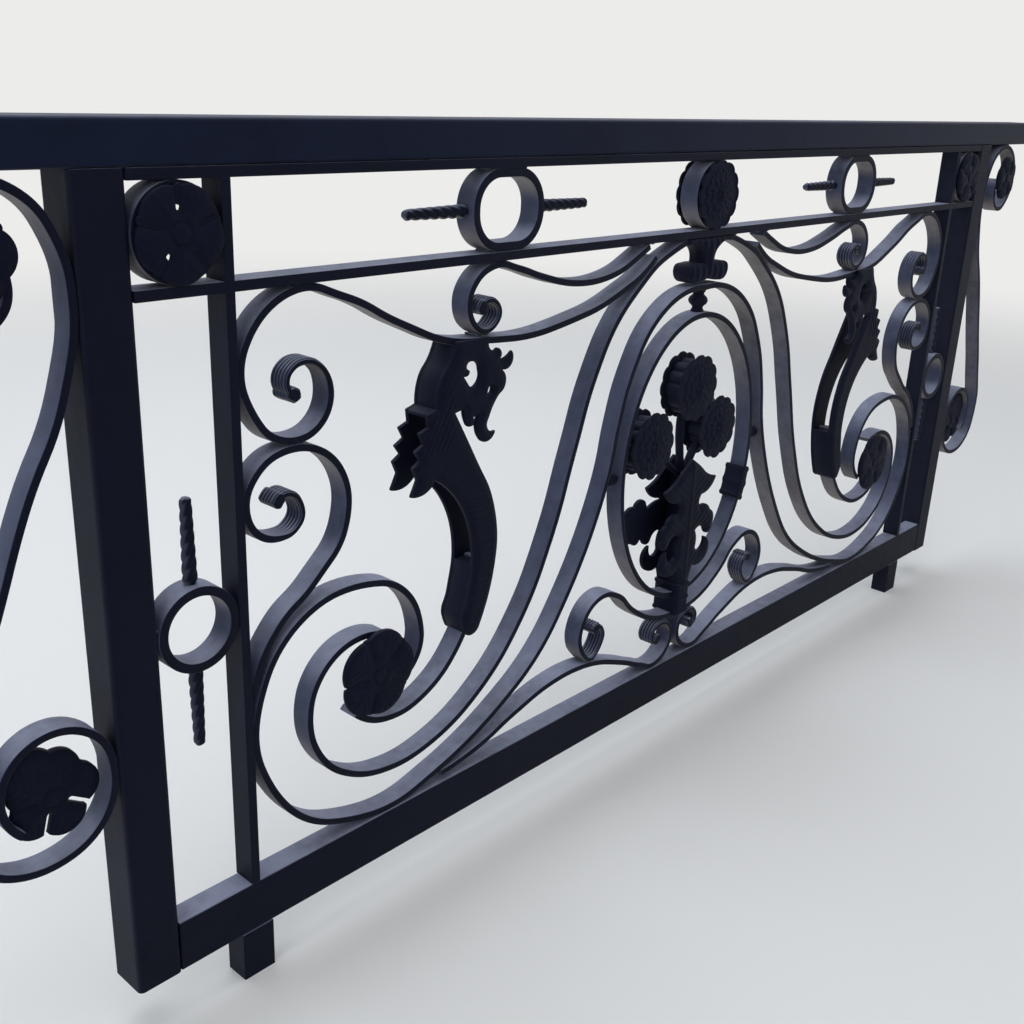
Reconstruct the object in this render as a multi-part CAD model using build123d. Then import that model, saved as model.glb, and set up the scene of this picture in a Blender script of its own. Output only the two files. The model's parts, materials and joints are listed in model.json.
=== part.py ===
from build123d import *
import os

# Wrought-iron balcony railing: a framed panel of flat scrolls under a handrail
# that runs from wall to wall, with a scroll on each side between post and wall.
# Millimetres. While it is drawn, X = 0 is the middle of the panel, Y = 0 is the
# front face of the frame (Y grows away from the room) and Z = 0 is the ledge.

# Handrail
handrail_length = 2200
handrail_width = 50
handrail_height = 40
handrail_corner = 5
box_wall = 3

# Posts, inner uprights and feet
post_spacing = 1796
post_side = 50
post_corner = 6
end_cell_width = 90
upright_width = 10
foot_width = 40
foot_height = 60

# Horizontal bars and the openings between them
frame_depth = 30
bottom_rail_height = 60
rail_corner = 3
opening_height = 640
band_bar_height = 10
band_height = 90
top_bar_height = 10

# Flat bar that the scrolls are bent from
strap_thickness = 8
strap_depth = 26
knob_radius = 7

# Rings, twisted pins and cast ornaments
ring_wall = 10
ring_depth = 28
oval_ring_width = 114
oval_ring_corner = 38
oval_ring_from_middle = 409
pin_diameter = 15.5
pin_length = 95
twist_pitch = 13.2
pin_taper = 0.25
spindle_diameter = 15
spindle_length = 89
plate_thickness = 6
leaf_thickness = 8
volute_leaf_radius = 53
collar_wrap = 4
collar_width = 34
sleeve_length = 48
sleeve_inward = 8
side_collar_radius = 8
flower_head_radius = 42
flower_petals = 12
flower_lap = 1.5
stem_width = 9
bud_depth = 30
wing_leaf_radius = 46
top_leaf_radius = 40

# Clearance between a piece and its seat
seat = 0.3

# Levels
bottom_rail_z = foot_height
opening_z = bottom_rail_z + bottom_rail_height
band_bar_z = opening_z + opening_height
band_z = band_bar_z + band_bar_height
top_bar_z = band_z + band_height
handrail_z = top_bar_z + top_bar_height

# Places across the width, from the middle of the panel
post_inner_x = post_spacing / 2 - post_side / 2
post_outer_x = post_spacing / 2 + post_side / 2
upright_outer_x = post_inner_x - end_cell_width
opening_x = upright_outer_x - upright_width
upright_x = (upright_outer_x + opening_x) / 2
end_cell_x = (post_inner_x + upright_outer_x) / 2
middle_y = frame_depth / 2
strap_y = middle_y - strap_depth / 2
ring_y = middle_y - ring_depth / 2
half_strap = strap_thickness / 2

# The scrollwork was drawn full size in an opening of 1546 by 640. The drawing
# stretches with the opening, while bar and casting sizes stay.
stretch_x = opening_x / 773
stretch_z = opening_height / 640

# Centre lines of straps that touch the frame
at_side = opening_x - seat - half_strap
under_bar = opening_height - seat - half_strap
on_rail = seat + half_strap


def at(x, height):
    """A point of the drawing: distance from the middle, height in the opening."""
    return (x * stretch_x, height * stretch_z)


def up(height):
    return height * stretch_z


def across(x):
    return x * stretch_x


def slab(face, front, depth):
    """Stand a flat outline up so that it runs from front to front + depth."""
    return Pos(0, front + depth, 0) * Rot(90, 0, 0) * extrude(face, depth)


def box(x0, x1, z0, z1, y0=0, y1=frame_depth):
    return Pos((x0 + x1) / 2, (y0 + y1) / 2, (z0 + z1) / 2) * Box(x1 - x0, y1 - y0, z1 - z0)


def tangents(points):
    """The way a smooth bend runs at each of its points.

    At an inner point it is the tangent of the circle through that point and its
    two neighbours. An end takes the tangent of the same circle as its neighbour.
    """
    chords = [q - p for p, q in zip(points, points[1:])]
    ways = []
    for before, after in zip(chords, chords[1:]):
        ways.append((before / before.length**2 + after / after.length**2).normalized())
    first, last = chords[0].normalized(), chords[-1].normalized()
    start = first * (2 * first.dot(ways[0])) - ways[0]
    end = last * (2 * last.dot(ways[-1])) - ways[-1]
    return [start, *ways, end]


def bend(points):
    """A chain of tangent arcs through points: two arcs from each point to the next.

    Each arc is given as (start, its way, end, its way).
    """
    points = [Vector(*p) for p in points]
    ways = tangents(points)
    arcs = []
    for p, q, go, come in zip(points, points[1:], ways, ways[1:]):
        chord = q - p
        spread = 2 * (1 - go.dot(come))
        reach = chord.dot(go + come)
        if spread > 1e-6:
            reach = ((reach**2 + spread * chord.dot(chord)) ** 0.5 - reach) / spread
        else:
            reach = chord.dot(chord) / (2 * reach)
        joint = (p + q + (go - come) * reach) / 2
        way = (joint - p).normalized()
        way = way * (2 * way.dot(go)) - go
        arcs.append((p, go, joint, way))
        arcs.append((joint, way, q, come))
    return arcs


def beside(arcs, offset):
    """The edges that run beside a bend at a distance, left of its way."""
    edges = []
    for p, go, q, come in arcs:
        start = p + Vector(-go.Y, go.X) * offset
        end = q + Vector(-come.Y, come.X) * offset
        if abs((q - p).normalized().dot(go)) > 0.99999:
            edges.append(Line(start, end))
        else:
            edges.append(TangentArc(start, end, tangent=go))
    return edges


def ribbon(points, width=strap_thickness):
    """A flat bar on edge, bent along the points of its centre line."""
    arcs = bend(points)
    left = beside(arcs, width / 2)
    right = beside(arcs, -width / 2)
    ends = [Line(left[-1] @ 1, right[-1] @ 1), Line(right[0] @ 0, left[0] @ 0)]
    return make_face([*left, *right, *ends])


def in_opening(face):
    """Keep what lies in the right half of the main opening, clear of the frame."""
    width = opening_x - 1.5 * seat
    room = Pos(seat / 2 + width / 2, opening_height / 2) * Rectangle(width, opening_height - 2 * seat)
    return Sketch() + (face & room)


def knobbed(points):
    """A strap that ends in a small six-sided knob at its first point."""
    return ribbon(points) + Pos(*points[0]) * RegularPolygon(knob_radius, 6)


def stand(face):
    """A strap of the main opening, at the depth of the scrollwork."""
    return Pos(0, 0, opening_z) * slab(face, strap_y, strap_depth)


def outline(*runs):
    """A closed outline from runs of points: two points make a line, more a curve."""
    edges = []
    for run in runs:
        edges += [Line(*run)] if len(run) == 2 else beside(bend(run), 0)
    return make_face(edges)


def both_plates(face, front_seat, back_seat, z):
    """The same casting on the front and on the back of what lies between."""
    front = slab(face, front_seat - seat - plate_thickness, plate_thickness)
    back = slab(face, back_seat + seat, plate_thickness)
    return [Pos(0, 0, z) * front, Pos(0, 0, z) * back]


def twisted_pin(length, diameter):
    """A pin of eight-sided swellings that tapers to a blunt tip, along +Z from 0."""
    count = round(length / twist_pitch)
    sections = [(0, 0.6 * diameter)]
    for k in range(count):
        swell = diameter * (1 - pin_taper * k / count)
        sections.append(((k + 0.5) * length / count, swell))
        sections.append(((k + 1) * length / count, 0.8 * swell))
    return loft([Pos(0, 0, z) * RegularPolygon(width / 2, 8) for z, width in sections], ruled=True)


def scalloped(radius, lobes, dent, turn=0):
    """A disc whose edge bulges in equal lobes between dents."""
    step = 360 / lobes
    dents = [Vector(dent * radius, 0).rotate(Axis.Z, turn + k * step) for k in range(lobes + 1)]
    crests = [Vector(radius, 0).rotate(Axis.Z, turn + (k + 0.5) * step) for k in range(lobes)]
    arcs = [ThreePointArc(p, crest, q) for p, crest, q in zip(dents, crests, dents[1:])]
    return make_face(arcs)


def leaf_rosette(radius, dent, slit, reach, turn=0, lobes=5):
    """A round leaf: lobes about a middle, parted by slits that reach in from the dents."""
    face = Sketch() + scalloped(radius, lobes, dent, turn)
    length = (dent - reach) * radius
    for spot in PolarLocations((dent + reach) / 2 * radius, lobes, start_angle=turn):
        face -= spot * SlotOverall(length + slit, slit)
    return face


def ring(width, height, wall):
    return Ellipse(width / 2, height / 2) - Ellipse(width / 2 - wall, height / 2 - wall)


def square_tube(width, depth, length, corner):
    """A box section along +Z, its corners rounded, open at both ends."""
    hollow = RectangleRounded(width - 2 * box_wall, depth - 2 * box_wall, corner - box_wall / 2)
    return extrude(RectangleRounded(width, depth, corner) - hollow, length)


nodes = {}


def add(name, *solids):
    nodes[name] = solids


def add_pair(name, *left_solids):
    """A left piece and its mirror image on the right."""
    add("left_" + name, *left_solids)
    add("right_" + name, *[mirror(solid, about=Plane.YZ) for solid in left_solids])


def add_both(name, *left_solids):
    """Like pieces on the left and on the right, kept under one name."""
    add(name, *left_solids, *[mirror(solid, about=Plane.YZ) for solid in left_solids])


# Frame
handrail = Rot(0, 90, 0) * square_tube(handrail_height, handrail_width, handrail_length, handrail_corner)
add("handrail", Pos(-handrail_length / 2, handrail_width / 2, handrail_z + handrail_height / 2) * handrail)
add("panel_top_bar", box(-post_inner_x, post_inner_x, top_bar_z, handrail_z))
rail = Rot(0, 90, 0) * square_tube(bottom_rail_height, frame_depth, 2 * post_inner_x, rail_corner)
add("bottom_rail", Pos(-post_inner_x, middle_y, (bottom_rail_z + opening_z) / 2) * rail)
post = square_tube(post_side, post_side, handrail_z - bottom_rail_z, post_corner)
add_pair("post", Pos(-post_spacing / 2, post_side / 2, bottom_rail_z) * post)
add_pair("inner_upright", box(-upright_outer_x, -opening_x, opening_z, top_bar_z))
add_pair("foot", box(-upright_x - foot_width / 2, -upright_x + foot_width / 2, 0, bottom_rail_z))
add("band_bar", box(-opening_x, opening_x, band_bar_z, band_z))
add_both("end_band_bars", box(-post_inner_x, -upright_outer_x, band_bar_z, band_z))

# Band of rings under the handrail
band_middle_z = (band_z + top_bar_z) / 2
ring_height = band_height - 2 * seat
centre_ring = slab(ring(ring_height, ring_height, ring_wall), ring_y, ring_depth)
add("centre_ring", Pos(0, 0, band_middle_z) * centre_ring)

oval_hole = RectangleRounded(oval_ring_width - 2 * ring_wall, ring_height - 2 * ring_wall,
                             oval_ring_corner - ring_wall)
oval = slab(RectangleRounded(oval_ring_width, ring_height, oval_ring_corner) - oval_hole, ring_y, ring_depth)
pin = Rot(0, 90, 0) * twisted_pin(pin_length, pin_diameter)
pin_out = Pos(oval_ring_width / 2 - 0.5, middle_y, 0) * pin
oval_with_pins = oval + pin_out + mirror(pin_out, about=Plane.YZ)
add_pair("band_ring", Pos(-oval_ring_from_middle, 0, band_middle_z) * oval_with_pins)

centre_flower = scalloped(band_height / 2 + flower_lap, flower_petals, 0.94, turn=90 + 180 / flower_petals)
add("centre_flowers", *both_plates(centre_flower, 0, frame_depth, band_middle_z))

# End cells between the uprights and the posts
end_ring_size = end_cell_width - 2 * seat
end_ring = slab(ring(end_ring_size, end_ring_size, ring_wall), ring_y, ring_depth)
top_ring = slab(ring(end_ring_size, min(end_ring_size, ring_height), ring_wall), ring_y, ring_depth)
add_both("end_top_rings", Pos(-end_cell_x, 0, band_middle_z) * top_ring)
end_leaf = Pos(-end_cell_x, 0) * leaf_rosette(end_cell_width / 2 - 1, 0.9, 5, 0.5, turn=20)
end_leaf_y = ring_y - seat - leaf_thickness
add_both("end_rosettes", Pos(0, 0, band_middle_z) * slab(end_leaf, end_leaf_y, leaf_thickness))

spindle = twisted_pin(spindle_length, spindle_diameter)
spindle_up = Pos(0, middle_y, end_ring_size / 2 - 0.5) * spindle
lower_ring = end_ring + spindle_up + mirror(spindle_up, about=Plane.XY)
end_ring_z = opening_z + up(320)
add_pair("end_ring", Pos(-end_cell_x, 0, end_ring_z) * lower_ring)

# Scrolls of the main opening, drawn for the right half and mirrored
curl_floor = up(487)
upper_line = [at(708, 533), at(715, 541), at(715, 550), at(706, 561), at(690, 564), at(672, 554),
              at(663, 533), at(667, 510), at(683, 493), (across(708), curl_floor), at(733, 494),
              at(758, 524), (at_side, up(561)),
              at(750, 607), (across(698), under_bar), at(640, 621), at(569, 587), at(500, 560),
              at(431, 552), at(363, 549), at(294, 557), at(226, 571), at(190, 584),
              at(153, 600), at(124, 621)]
small_floor = up(555) + strap_thickness + seat
small_line = [at(446, 590), at(437, 597), at(426, 595), at(417, 583), at(425, 568),
              (across(443), small_floor), at(461, 575), at(467, 600), at(454, 623),
              (across(425), under_bar), at(386, 628), at(351, 617), at(289, 603), at(240, 602),
              at(191, 612), at(166, 623), (across(140), under_bar)]
side_top = curl_floor - strap_thickness - seat
side_line = [at(730, 428), at(722, 433), at(711, 430), at(703, 419), at(701, 405),
             at(710, 393), at(733, 389), at(757, 400), (at_side, up(433)), at(749, 467),
             (across(706), side_top), at(668, 464), at(644, 428), at(647, 376), at(689, 327),
             at(734, 293), at(760, 256), (at_side, up(228))]
outer_line = [at(562, 170), at(539, 194), at(540, 247), at(569, 287), at(626, 306),
              at(683, 301), at(734, 267), at(760, 219), (at_side, up(172)), at(750, 104),
              at(700, 41), at(640, 14), (across(585), on_rail), at(500, 21), at(403, 61),
              at(322, 116), at(260, 196), at(217, 276), at(190, 350), at(180, 400),
              at(160, 464), at(115, 533), at(60, 565), at(0, 571)]
inner_line = [at(590, 235), at(620, 243), at(656, 236), at(688, 206), at(698, 160),
              at(677, 105), at(631, 70), at(574, 57), at(500, 69), at(415, 118),
              at(350, 193), at(303, 287), at(268, 390), at(240, 470), at(197, 545),
              at(147, 591), at(119, 611), at(90, 624), (across(55), under_bar)]
rosette_line = [at(634, 150), at(612, 134), at(569, 125), at(511, 144), at(466, 190),
                at(445, 235), at(437, 286)]
lower_rest = up(60)
lower_line = [at(497, 12), at(431, 22), at(363, 44), at(300, 60), at(252, 64),
              (across(205), lower_rest), at(130, 36), at(85, 16), (across(52), on_rail), at(24, 14),
              at(9, 36), at(14, 58), at(33, 68), at(51, 64), at(57, 51), at(51, 42), at(43, 44)]
medal_floor = lower_rest + strap_thickness + seat
medal_root = up(77)
medal_line = [at(197, 113), at(188, 112), at(180, 101), at(184, 85),
              (across(205), medal_floor), at(225, 84), at(233, 108), at(227, 131),
              at(208, 152), at(181, 159), at(152, 149), at(112, 114), at(70, 89), (0, medal_root)]

outer_face = in_opening(ribbon(outer_line))
inner_face = in_opening(ribbon(inner_line))


def left_strap(face):
    return mirror(stand(face), about=Plane.YZ)


add_pair("upper_scroll", left_strap(in_opening(knobbed(upper_line))))
add_pair("small_scroll", left_strap(in_opening(knobbed(small_line))))
add_pair("side_scroll", left_strap(in_opening(knobbed(side_line))))
add_pair("outer_volute", left_strap(outer_face))
add_pair("inner_volute", left_strap(inner_face))
add_pair("rosette_strap", left_strap(ribbon(rosette_line)))
add_pair("lower_scroll", left_strap(in_opening(knobbed(lower_line[::-1]))))
add_pair("medallion_curl", left_strap(in_opening(knobbed(medal_line))))

# Middle medallion, its collars and the bud over it
medallion_width = across(328)
medallion_height = up(430)
medallion_z = opening_z + up(321)
medallion_face = ring(medallion_width, medallion_height, strap_thickness)
add("medallion_oval", Pos(0, 0, medallion_z) * slab(medallion_face, strap_y, strap_depth))

# Castings in front of and behind the scrolls
strap_back = strap_y + strap_depth
volute_leaf = Pos(across(605), up(193)) * leaf_rosette(volute_leaf_radius, 0.9, 4, 0.45, turn=-3)
volute_leaf = slab(volute_leaf, strap_y - seat - leaf_thickness, leaf_thickness)
add_both("leaf_rosettes", mirror(Pos(0, 0, opening_z) * volute_leaf, about=Plane.YZ))

dragon_face = outline(
    [at(492, 558), at(498, 543), at(517, 514), at(521, 487)],
    [at(521, 487), at(535, 483)],
    [at(535, 483), at(533, 469)],
    [at(533, 469), at(547, 464)],
    [at(547, 464), at(540, 451)],
    [at(540, 451), at(553, 444)],
    [at(553, 444), at(545, 433)],
    [at(545, 433), at(556, 426)],
    [at(556, 426), at(549, 411)],
    [at(549, 411), at(558, 393)],
    [at(558, 393), at(540, 392), at(521, 405)],
    [at(521, 405), at(489, 378), at(467, 342), at(457, 290), at(464, 245), at(472, 211),
     at(458, 192), at(442, 203)],
    [at(442, 203), at(421, 264), at(416, 312), at(428, 367), at(456, 417), at(492, 478)],
    [at(492, 478), at(479, 480)],
    [at(479, 480), at(477, 468), at(469, 458), at(462, 460), at(463, 468)],
    [at(463, 468), at(455, 470)],
    [at(455, 470), at(456, 447), at(443, 435), at(426, 446)],
    [at(426, 446), at(440, 453), at(436, 467), at(421, 489)],
    [at(421, 489), at(412, 497), at(417, 517)],
    [at(417, 517), at(401, 523), at(402, 537)],
    [at(402, 537), at(411, 531), at(422, 530)],
    [at(422, 530), at(424, 543), at(433, 541), at(440, 558)],
    [at(440, 558), at(492, 558)],
)
# The back plate has no face, and the neck and mane are filled between the plates
face_room = make_face(Polyline(at(470, 565), at(472, 530), at(485, 505), at(485, 480), at(468, 442),
                               at(440, 425), at(390, 425), at(390, 565), close=True))
dragon_back = dragon_face - face_room
dragon_front = dragon_face - outline([at(480, 518), at(471, 521), at(476, 529), at(464, 533), at(456, 522)],
                                     [at(456, 522), at(457, 509), at(467, 504), at(473, 509)],
                                     [at(473, 509), at(480, 518)])
dragon_front -= Pos(across(437), up(496)) * Rot(0, 0, 25) * Ellipse(3.5, 5.5)
dragon_core = outline(
    [at(452, 300), at(463, 345), at(486, 383), at(519, 411)],
    [at(519, 411), at(534, 440), at(522, 480), at(511, 514), at(496, 543)],
    [at(496, 543), at(488, 543)],
    [at(488, 543), at(491, 505), at(485, 465), at(462, 420), at(436, 370), at(422, 300)],
    [at(422, 300), at(452, 300)],
)
plate_front = strap_y - seat - plate_thickness
plate_back = strap_back + seat
dragon = slab(dragon_front, plate_front, plate_thickness) + slab(dragon_back, plate_back, plate_thickness)
dragon += slab(dragon_core, strap_y - seat, strap_depth + 2 * seat)
add_pair("dragon", mirror(Pos(0, 0, opening_z) * dragon, about=Plane.YZ))

# Bouquet inside the medallion: three thick flower heads on a stalk between leafy plates
bouquet_half = outline(
    [at(0, 104), at(12, 104)],
    [at(12, 104), at(15, 132), at(22, 150)],
    [at(22, 150), at(43, 148), at(60, 160), at(62, 179), at(48, 190)],
    [at(48, 190), at(47, 178), at(35, 171), at(25, 179)],
    [at(25, 179), at(26, 195), at(21, 207)],
    [at(21, 207), at(36, 210), at(47, 199)],
    [at(47, 199), at(60, 195), at(66, 206)],
    [at(66, 206), at(68, 221), at(57, 232)],
    [at(57, 232), at(46, 243), at(28, 243)],
    [at(28, 243), at(25, 252), at(30, 262)],
    [at(30, 262), at(48, 266), at(65, 284)],
    [at(65, 284), at(41, 293), at(20, 309), at(0, 322)],
    [at(0, 322), at(0, 104)],
)
leaf_plate = bouquet_half + mirror(bouquet_half, about=Plane.YZ)
side_leaf = outline(
    [at(-20, 258), at(-44, 257), at(-60, 251)],
    [at(-60, 251), at(-66, 264)],
    [at(-66, 264), at(-80, 269), at(-91, 261)],
    [at(-91, 261), at(-105, 261), at(-116, 246)],
    [at(-116, 246), at(-118, 232), at(-108, 222)],
    [at(-108, 222), at(-106, 210), at(-93, 206)],
    [at(-93, 206), at(-83, 200), at(-74, 207)],
    [at(-74, 207), at(-66, 204), at(-60, 209)],
    [at(-60, 209), at(-56, 220), at(-40, 224), at(-20, 224)],
    [at(-20, 224), at(-20, 258)],
)
stalk = outline(
    [at(-11, 134), at(11, 134)],
    [at(11, 134), at(17, 200), at(13, 296)],
    [at(13, 296), at(0, 314), at(-13, 296)],
    [at(-13, 296), at(-17, 200), at(-11, 134)],
)
stems = ribbon([at(-10, 412), at(-16, 365), at(-11, 330), at(-3, 296)], stem_width)
stems += ribbon([at(52, 362), at(30, 338), at(6, 300)], stem_width)
stems += ribbon([at(-92, 362), at(-56, 332), at(-8, 296)], stem_width)
heads = Sketch()
for spot in (at(-3, 430), at(62, 361), at(-104, 373)):
    heads += Pos(*spot) * scalloped(flower_head_radius, flower_petals, 0.94)
bouquet = slab(heads, plate_front, plate_back + plate_thickness - plate_front)
bouquet += slab(stems, middle_y - stem_width, 2 * stem_width)
bouquet += slab(stalk, plate_front, plate_back + plate_thickness - plate_front)
bouquet += slab(leaf_plate, plate_front, plate_thickness)
bouquet += slab(leaf_plate + side_leaf, plate_back, plate_thickness)
add("bouquet", Pos(0, 0, opening_z) * bouquet)

# Collars of the medallion: one round its foot, a knop over it, and one on each
# side to the volute
foot_z = medallion_z - medallion_height / 2
head_z = medallion_z + medallion_height / 2
plate_reach = plate_thickness + 2 * seat
tight = strap_thickness + 2 * seat
medallion_ring = ring(medallion_width + 2 * seat, medallion_height + 2 * seat, tight)
medallion_way = Pos(0, -seat, medallion_z) * slab(medallion_ring, strap_y, strap_depth + 2 * seat)
curl_way = Pos(0, -seat, opening_z) * slab(ribbon(medal_line, tight), strap_y, strap_depth + 2 * seat)
foot_collar = box(-collar_width / 2, collar_width / 2, opening_z + medal_root, foot_z + 22,
                  strap_y - plate_reach - collar_wrap, strap_back + plate_reach + collar_wrap)
foot_collar -= medallion_way
foot_collar -= curl_way
foot_collar -= mirror(curl_way, about=Plane.YZ)
tab_half = across(15) + seat
for y in (strap_y - plate_reach, strap_back):
    foot_collar -= box(-tab_half, tab_half, opening_z + up(104) - seat, foot_z + 40, y, y + plate_reach)

volute_way = Pos(0, -seat, opening_z) * slab(ribbon(outer_line, tight), strap_y, strap_depth + 2 * seat)
side_z = opening_z + up(325)
side_collar = Pos(across(178), middle_y, side_z) * Rot(0, 90, 0) * Cylinder(side_collar_radius, across(50))
side_collar -= medallion_way
side_collar -= volute_way
side_collar = side_collar.solids().sort_by(SortBy.VOLUME)[-1]

sleeve_face = ring(medallion_width + 2 * collar_wrap, medallion_height + 2 * collar_wrap,
                   strap_thickness + 2 * collar_wrap + sleeve_inward)
sleeve_face = sleeve_face & Pos(across(150), up(-71)) * Rectangle(across(60), sleeve_length)
sleeve = Pos(0, 0, medallion_z) * slab(sleeve_face, strap_y - collar_wrap, strap_depth + 2 * collar_wrap)
sleeve -= medallion_way

apex_z = opening_z + up(571) - half_strap
knop_half = outline(
    [(0, 0), (9, 0)],
    [(9, 0), (7, 6), (14, 15), (7, 24), (10, 31)],
    [(10, 31), (0, 31)],
    [(0, 31), (0, 0)],
)
knop = Pos(0, middle_y, head_z) * Rot(90, 0, 0) * revolve(knop_half, Axis.Y)
knop = knop & box(-20, 20, head_z + seat, apex_z - seat)
knop = (Part() + knop) - medallion_way - volute_way - mirror(volute_way, about=Plane.YZ)
add("medallion_collars", foot_collar, mirror(side_collar, about=Plane.YZ), side_collar, knop, sleeve)

# Bud that hangs from the bar over the medallion
bud_half = outline(
    [(0, opening_height - seat), (across(53), opening_height - seat)],
    [(across(53), opening_height - seat), at(53, 631)],
    [at(53, 631), at(27, 629), at(11, 612), at(11, 604)],
    [at(11, 604), at(28, 605), at(46, 600), at(45, 586), at(28, 579)],
    [at(28, 579), at(16, 580), at(0, 583)],
    [at(0, 583), (0, opening_height - seat)],
)
bud_face = bud_half + mirror(bud_half, about=Plane.YZ)
add("crown_bud", Pos(0, 0, opening_z) * slab(bud_face, middle_y - bud_depth / 2, bud_depth))

# Wing scrolls between the posts and the walls
wing_stretch_x = (handrail_length / 2 - post_outer_x) / 177
wing_stretch_z = handrail_z / 870


def wing(from_post, drop):
    """A point of a wing: distance from the post, drop under the handrail."""
    return (post_outer_x + from_post * wing_stretch_x, handrail_z - drop * wing_stretch_z)


at_post = post_outer_x + seat + half_strap
under_handrail = handrail_z - seat - half_strap
wing_line = [wing(78, 68), wing(61, 74), wing(57, 95), wing(68, 113), wing(92, 121),
             wing(122, 104), wing(139, 64),
             wing(120, 21), (wing(80, 0)[0], under_handrail), wing(36, 20), wing(10, 62),
             (at_post, wing(0, 112)[1]), wing(20, 183), wing(63, 274), wing(96, 360),
             wing(130, 445), wing(153, 528), wing(132, 594), wing(78, 617), wing(27, 600),
             (at_post, wing(0, 544)[1]), wing(20, 500), wing(62, 482), wing(100, 500),
             wing(112, 540), wing(96, 572)]
add_pair("wing_scroll", mirror(slab(ribbon(wing_line), strap_y, strap_depth), about=Plane.YZ))
top_leaf = Pos(*wing(88, 62)) * leaf_rosette(top_leaf_radius, 0.85, 4, 0.45, turn=-3)
top_leaf = slab(top_leaf, strap_y - seat - leaf_thickness, leaf_thickness)
low_leaf = leaf_rosette(wing_leaf_radius, 0.8, 5.5, 0.42, turn=-3) + Pos(18, 27) * Circle(27)
low_leaf = Pos(*wing(61, 550)) * low_leaf - ribbon(wing_line, strap_thickness + 2 * seat)
low_leaf = slab(low_leaf.faces().sort_by(SortBy.AREA)[-1], middle_y - leaf_thickness / 2, leaf_thickness)
add_both("wing_rosettes", mirror(top_leaf, about=Plane.YZ), mirror(low_leaf, about=Plane.YZ))

os.makedirs("parts", exist_ok=True)

# The row origin: the middle of the left foot's underside
to_origin = Pos(upright_x, -middle_y, 0)
for name, solids in nodes.items():
    placed = [to_origin * solid for solid in solids]
    shape = placed[0] if len(placed) == 1 else Compound(children=placed)
    export_step(shape, "parts/" + name + ".step")
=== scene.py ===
"""A balcony railing of painted wrought iron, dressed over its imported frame.

Sizes are in metres, in the frame's axes: +X to the right and +Y to the back as seen
from the front, +Z up. Only the lines of scrolls, wings and stems are drawn in
millimetres, from the panel's middle and from the floor of its main opening.
"""

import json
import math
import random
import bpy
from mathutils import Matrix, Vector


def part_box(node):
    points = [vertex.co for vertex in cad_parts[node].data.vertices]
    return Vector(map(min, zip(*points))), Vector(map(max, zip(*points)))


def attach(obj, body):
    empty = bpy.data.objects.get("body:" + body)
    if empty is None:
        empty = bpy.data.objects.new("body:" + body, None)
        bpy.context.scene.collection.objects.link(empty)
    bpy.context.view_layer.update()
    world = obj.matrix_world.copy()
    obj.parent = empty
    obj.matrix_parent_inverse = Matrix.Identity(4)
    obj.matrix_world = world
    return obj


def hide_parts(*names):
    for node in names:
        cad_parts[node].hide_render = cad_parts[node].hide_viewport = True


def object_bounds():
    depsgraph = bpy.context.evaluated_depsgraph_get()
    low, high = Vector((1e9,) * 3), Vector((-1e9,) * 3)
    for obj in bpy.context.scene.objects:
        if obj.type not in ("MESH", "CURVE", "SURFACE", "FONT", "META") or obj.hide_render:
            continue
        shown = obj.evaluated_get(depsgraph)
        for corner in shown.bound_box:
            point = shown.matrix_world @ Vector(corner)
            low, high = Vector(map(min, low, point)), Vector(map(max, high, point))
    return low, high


bl_info = {
    "name": "Wrought iron balcony railing",
    "version": (1, 0, 0),
    "blender": (4, 5, 0),
    "location": "3D View > Sidebar > Railing",
    "description": "Bends the scrolls, casts the ornaments and paints a balcony railing",
    "category": "Object",
}

import bmesh
import bpy
import numpy as np
from bpy.props import FloatProperty, FloatVectorProperty, IntProperty, PointerProperty
from mathutils import Vector, geometry, kdtree

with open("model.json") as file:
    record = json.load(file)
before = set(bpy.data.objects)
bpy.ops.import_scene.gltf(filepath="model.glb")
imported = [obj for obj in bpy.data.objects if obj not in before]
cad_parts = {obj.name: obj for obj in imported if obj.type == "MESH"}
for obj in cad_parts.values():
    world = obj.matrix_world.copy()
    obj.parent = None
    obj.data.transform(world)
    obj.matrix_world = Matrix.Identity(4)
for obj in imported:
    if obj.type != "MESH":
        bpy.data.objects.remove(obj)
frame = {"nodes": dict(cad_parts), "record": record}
CAD_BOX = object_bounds()
NODES = frame["nodes"]

# Places read from the frame
MIDDLE_X = (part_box("medallion_oval")[0].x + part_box("medallion_oval")[1].x) / 2
OPENING_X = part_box("band_bar")[1].x - MIDDLE_X
OPENING_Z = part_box("bottom_rail")[1].z
OPENING_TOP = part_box("band_bar")[0].z
OPENING_HEIGHT = OPENING_TOP - OPENING_Z
STRAP_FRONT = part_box("medallion_oval")[0].y
STRAP_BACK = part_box("medallion_oval")[1].y
STRAP_DEPTH = STRAP_BACK - STRAP_FRONT
MIDDLE_Y = (STRAP_FRONT + STRAP_BACK) / 2

# How far the frame differs from the one that the lines were drawn for
DRAWN_OPENING = (0.773, 0.640)
DRAWN_WING = (0.177, 0.870)
STRETCH_X = OPENING_X / DRAWN_OPENING[0]
STRETCH_Z = OPENING_HEIGHT / DRAWN_OPENING[1]


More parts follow.
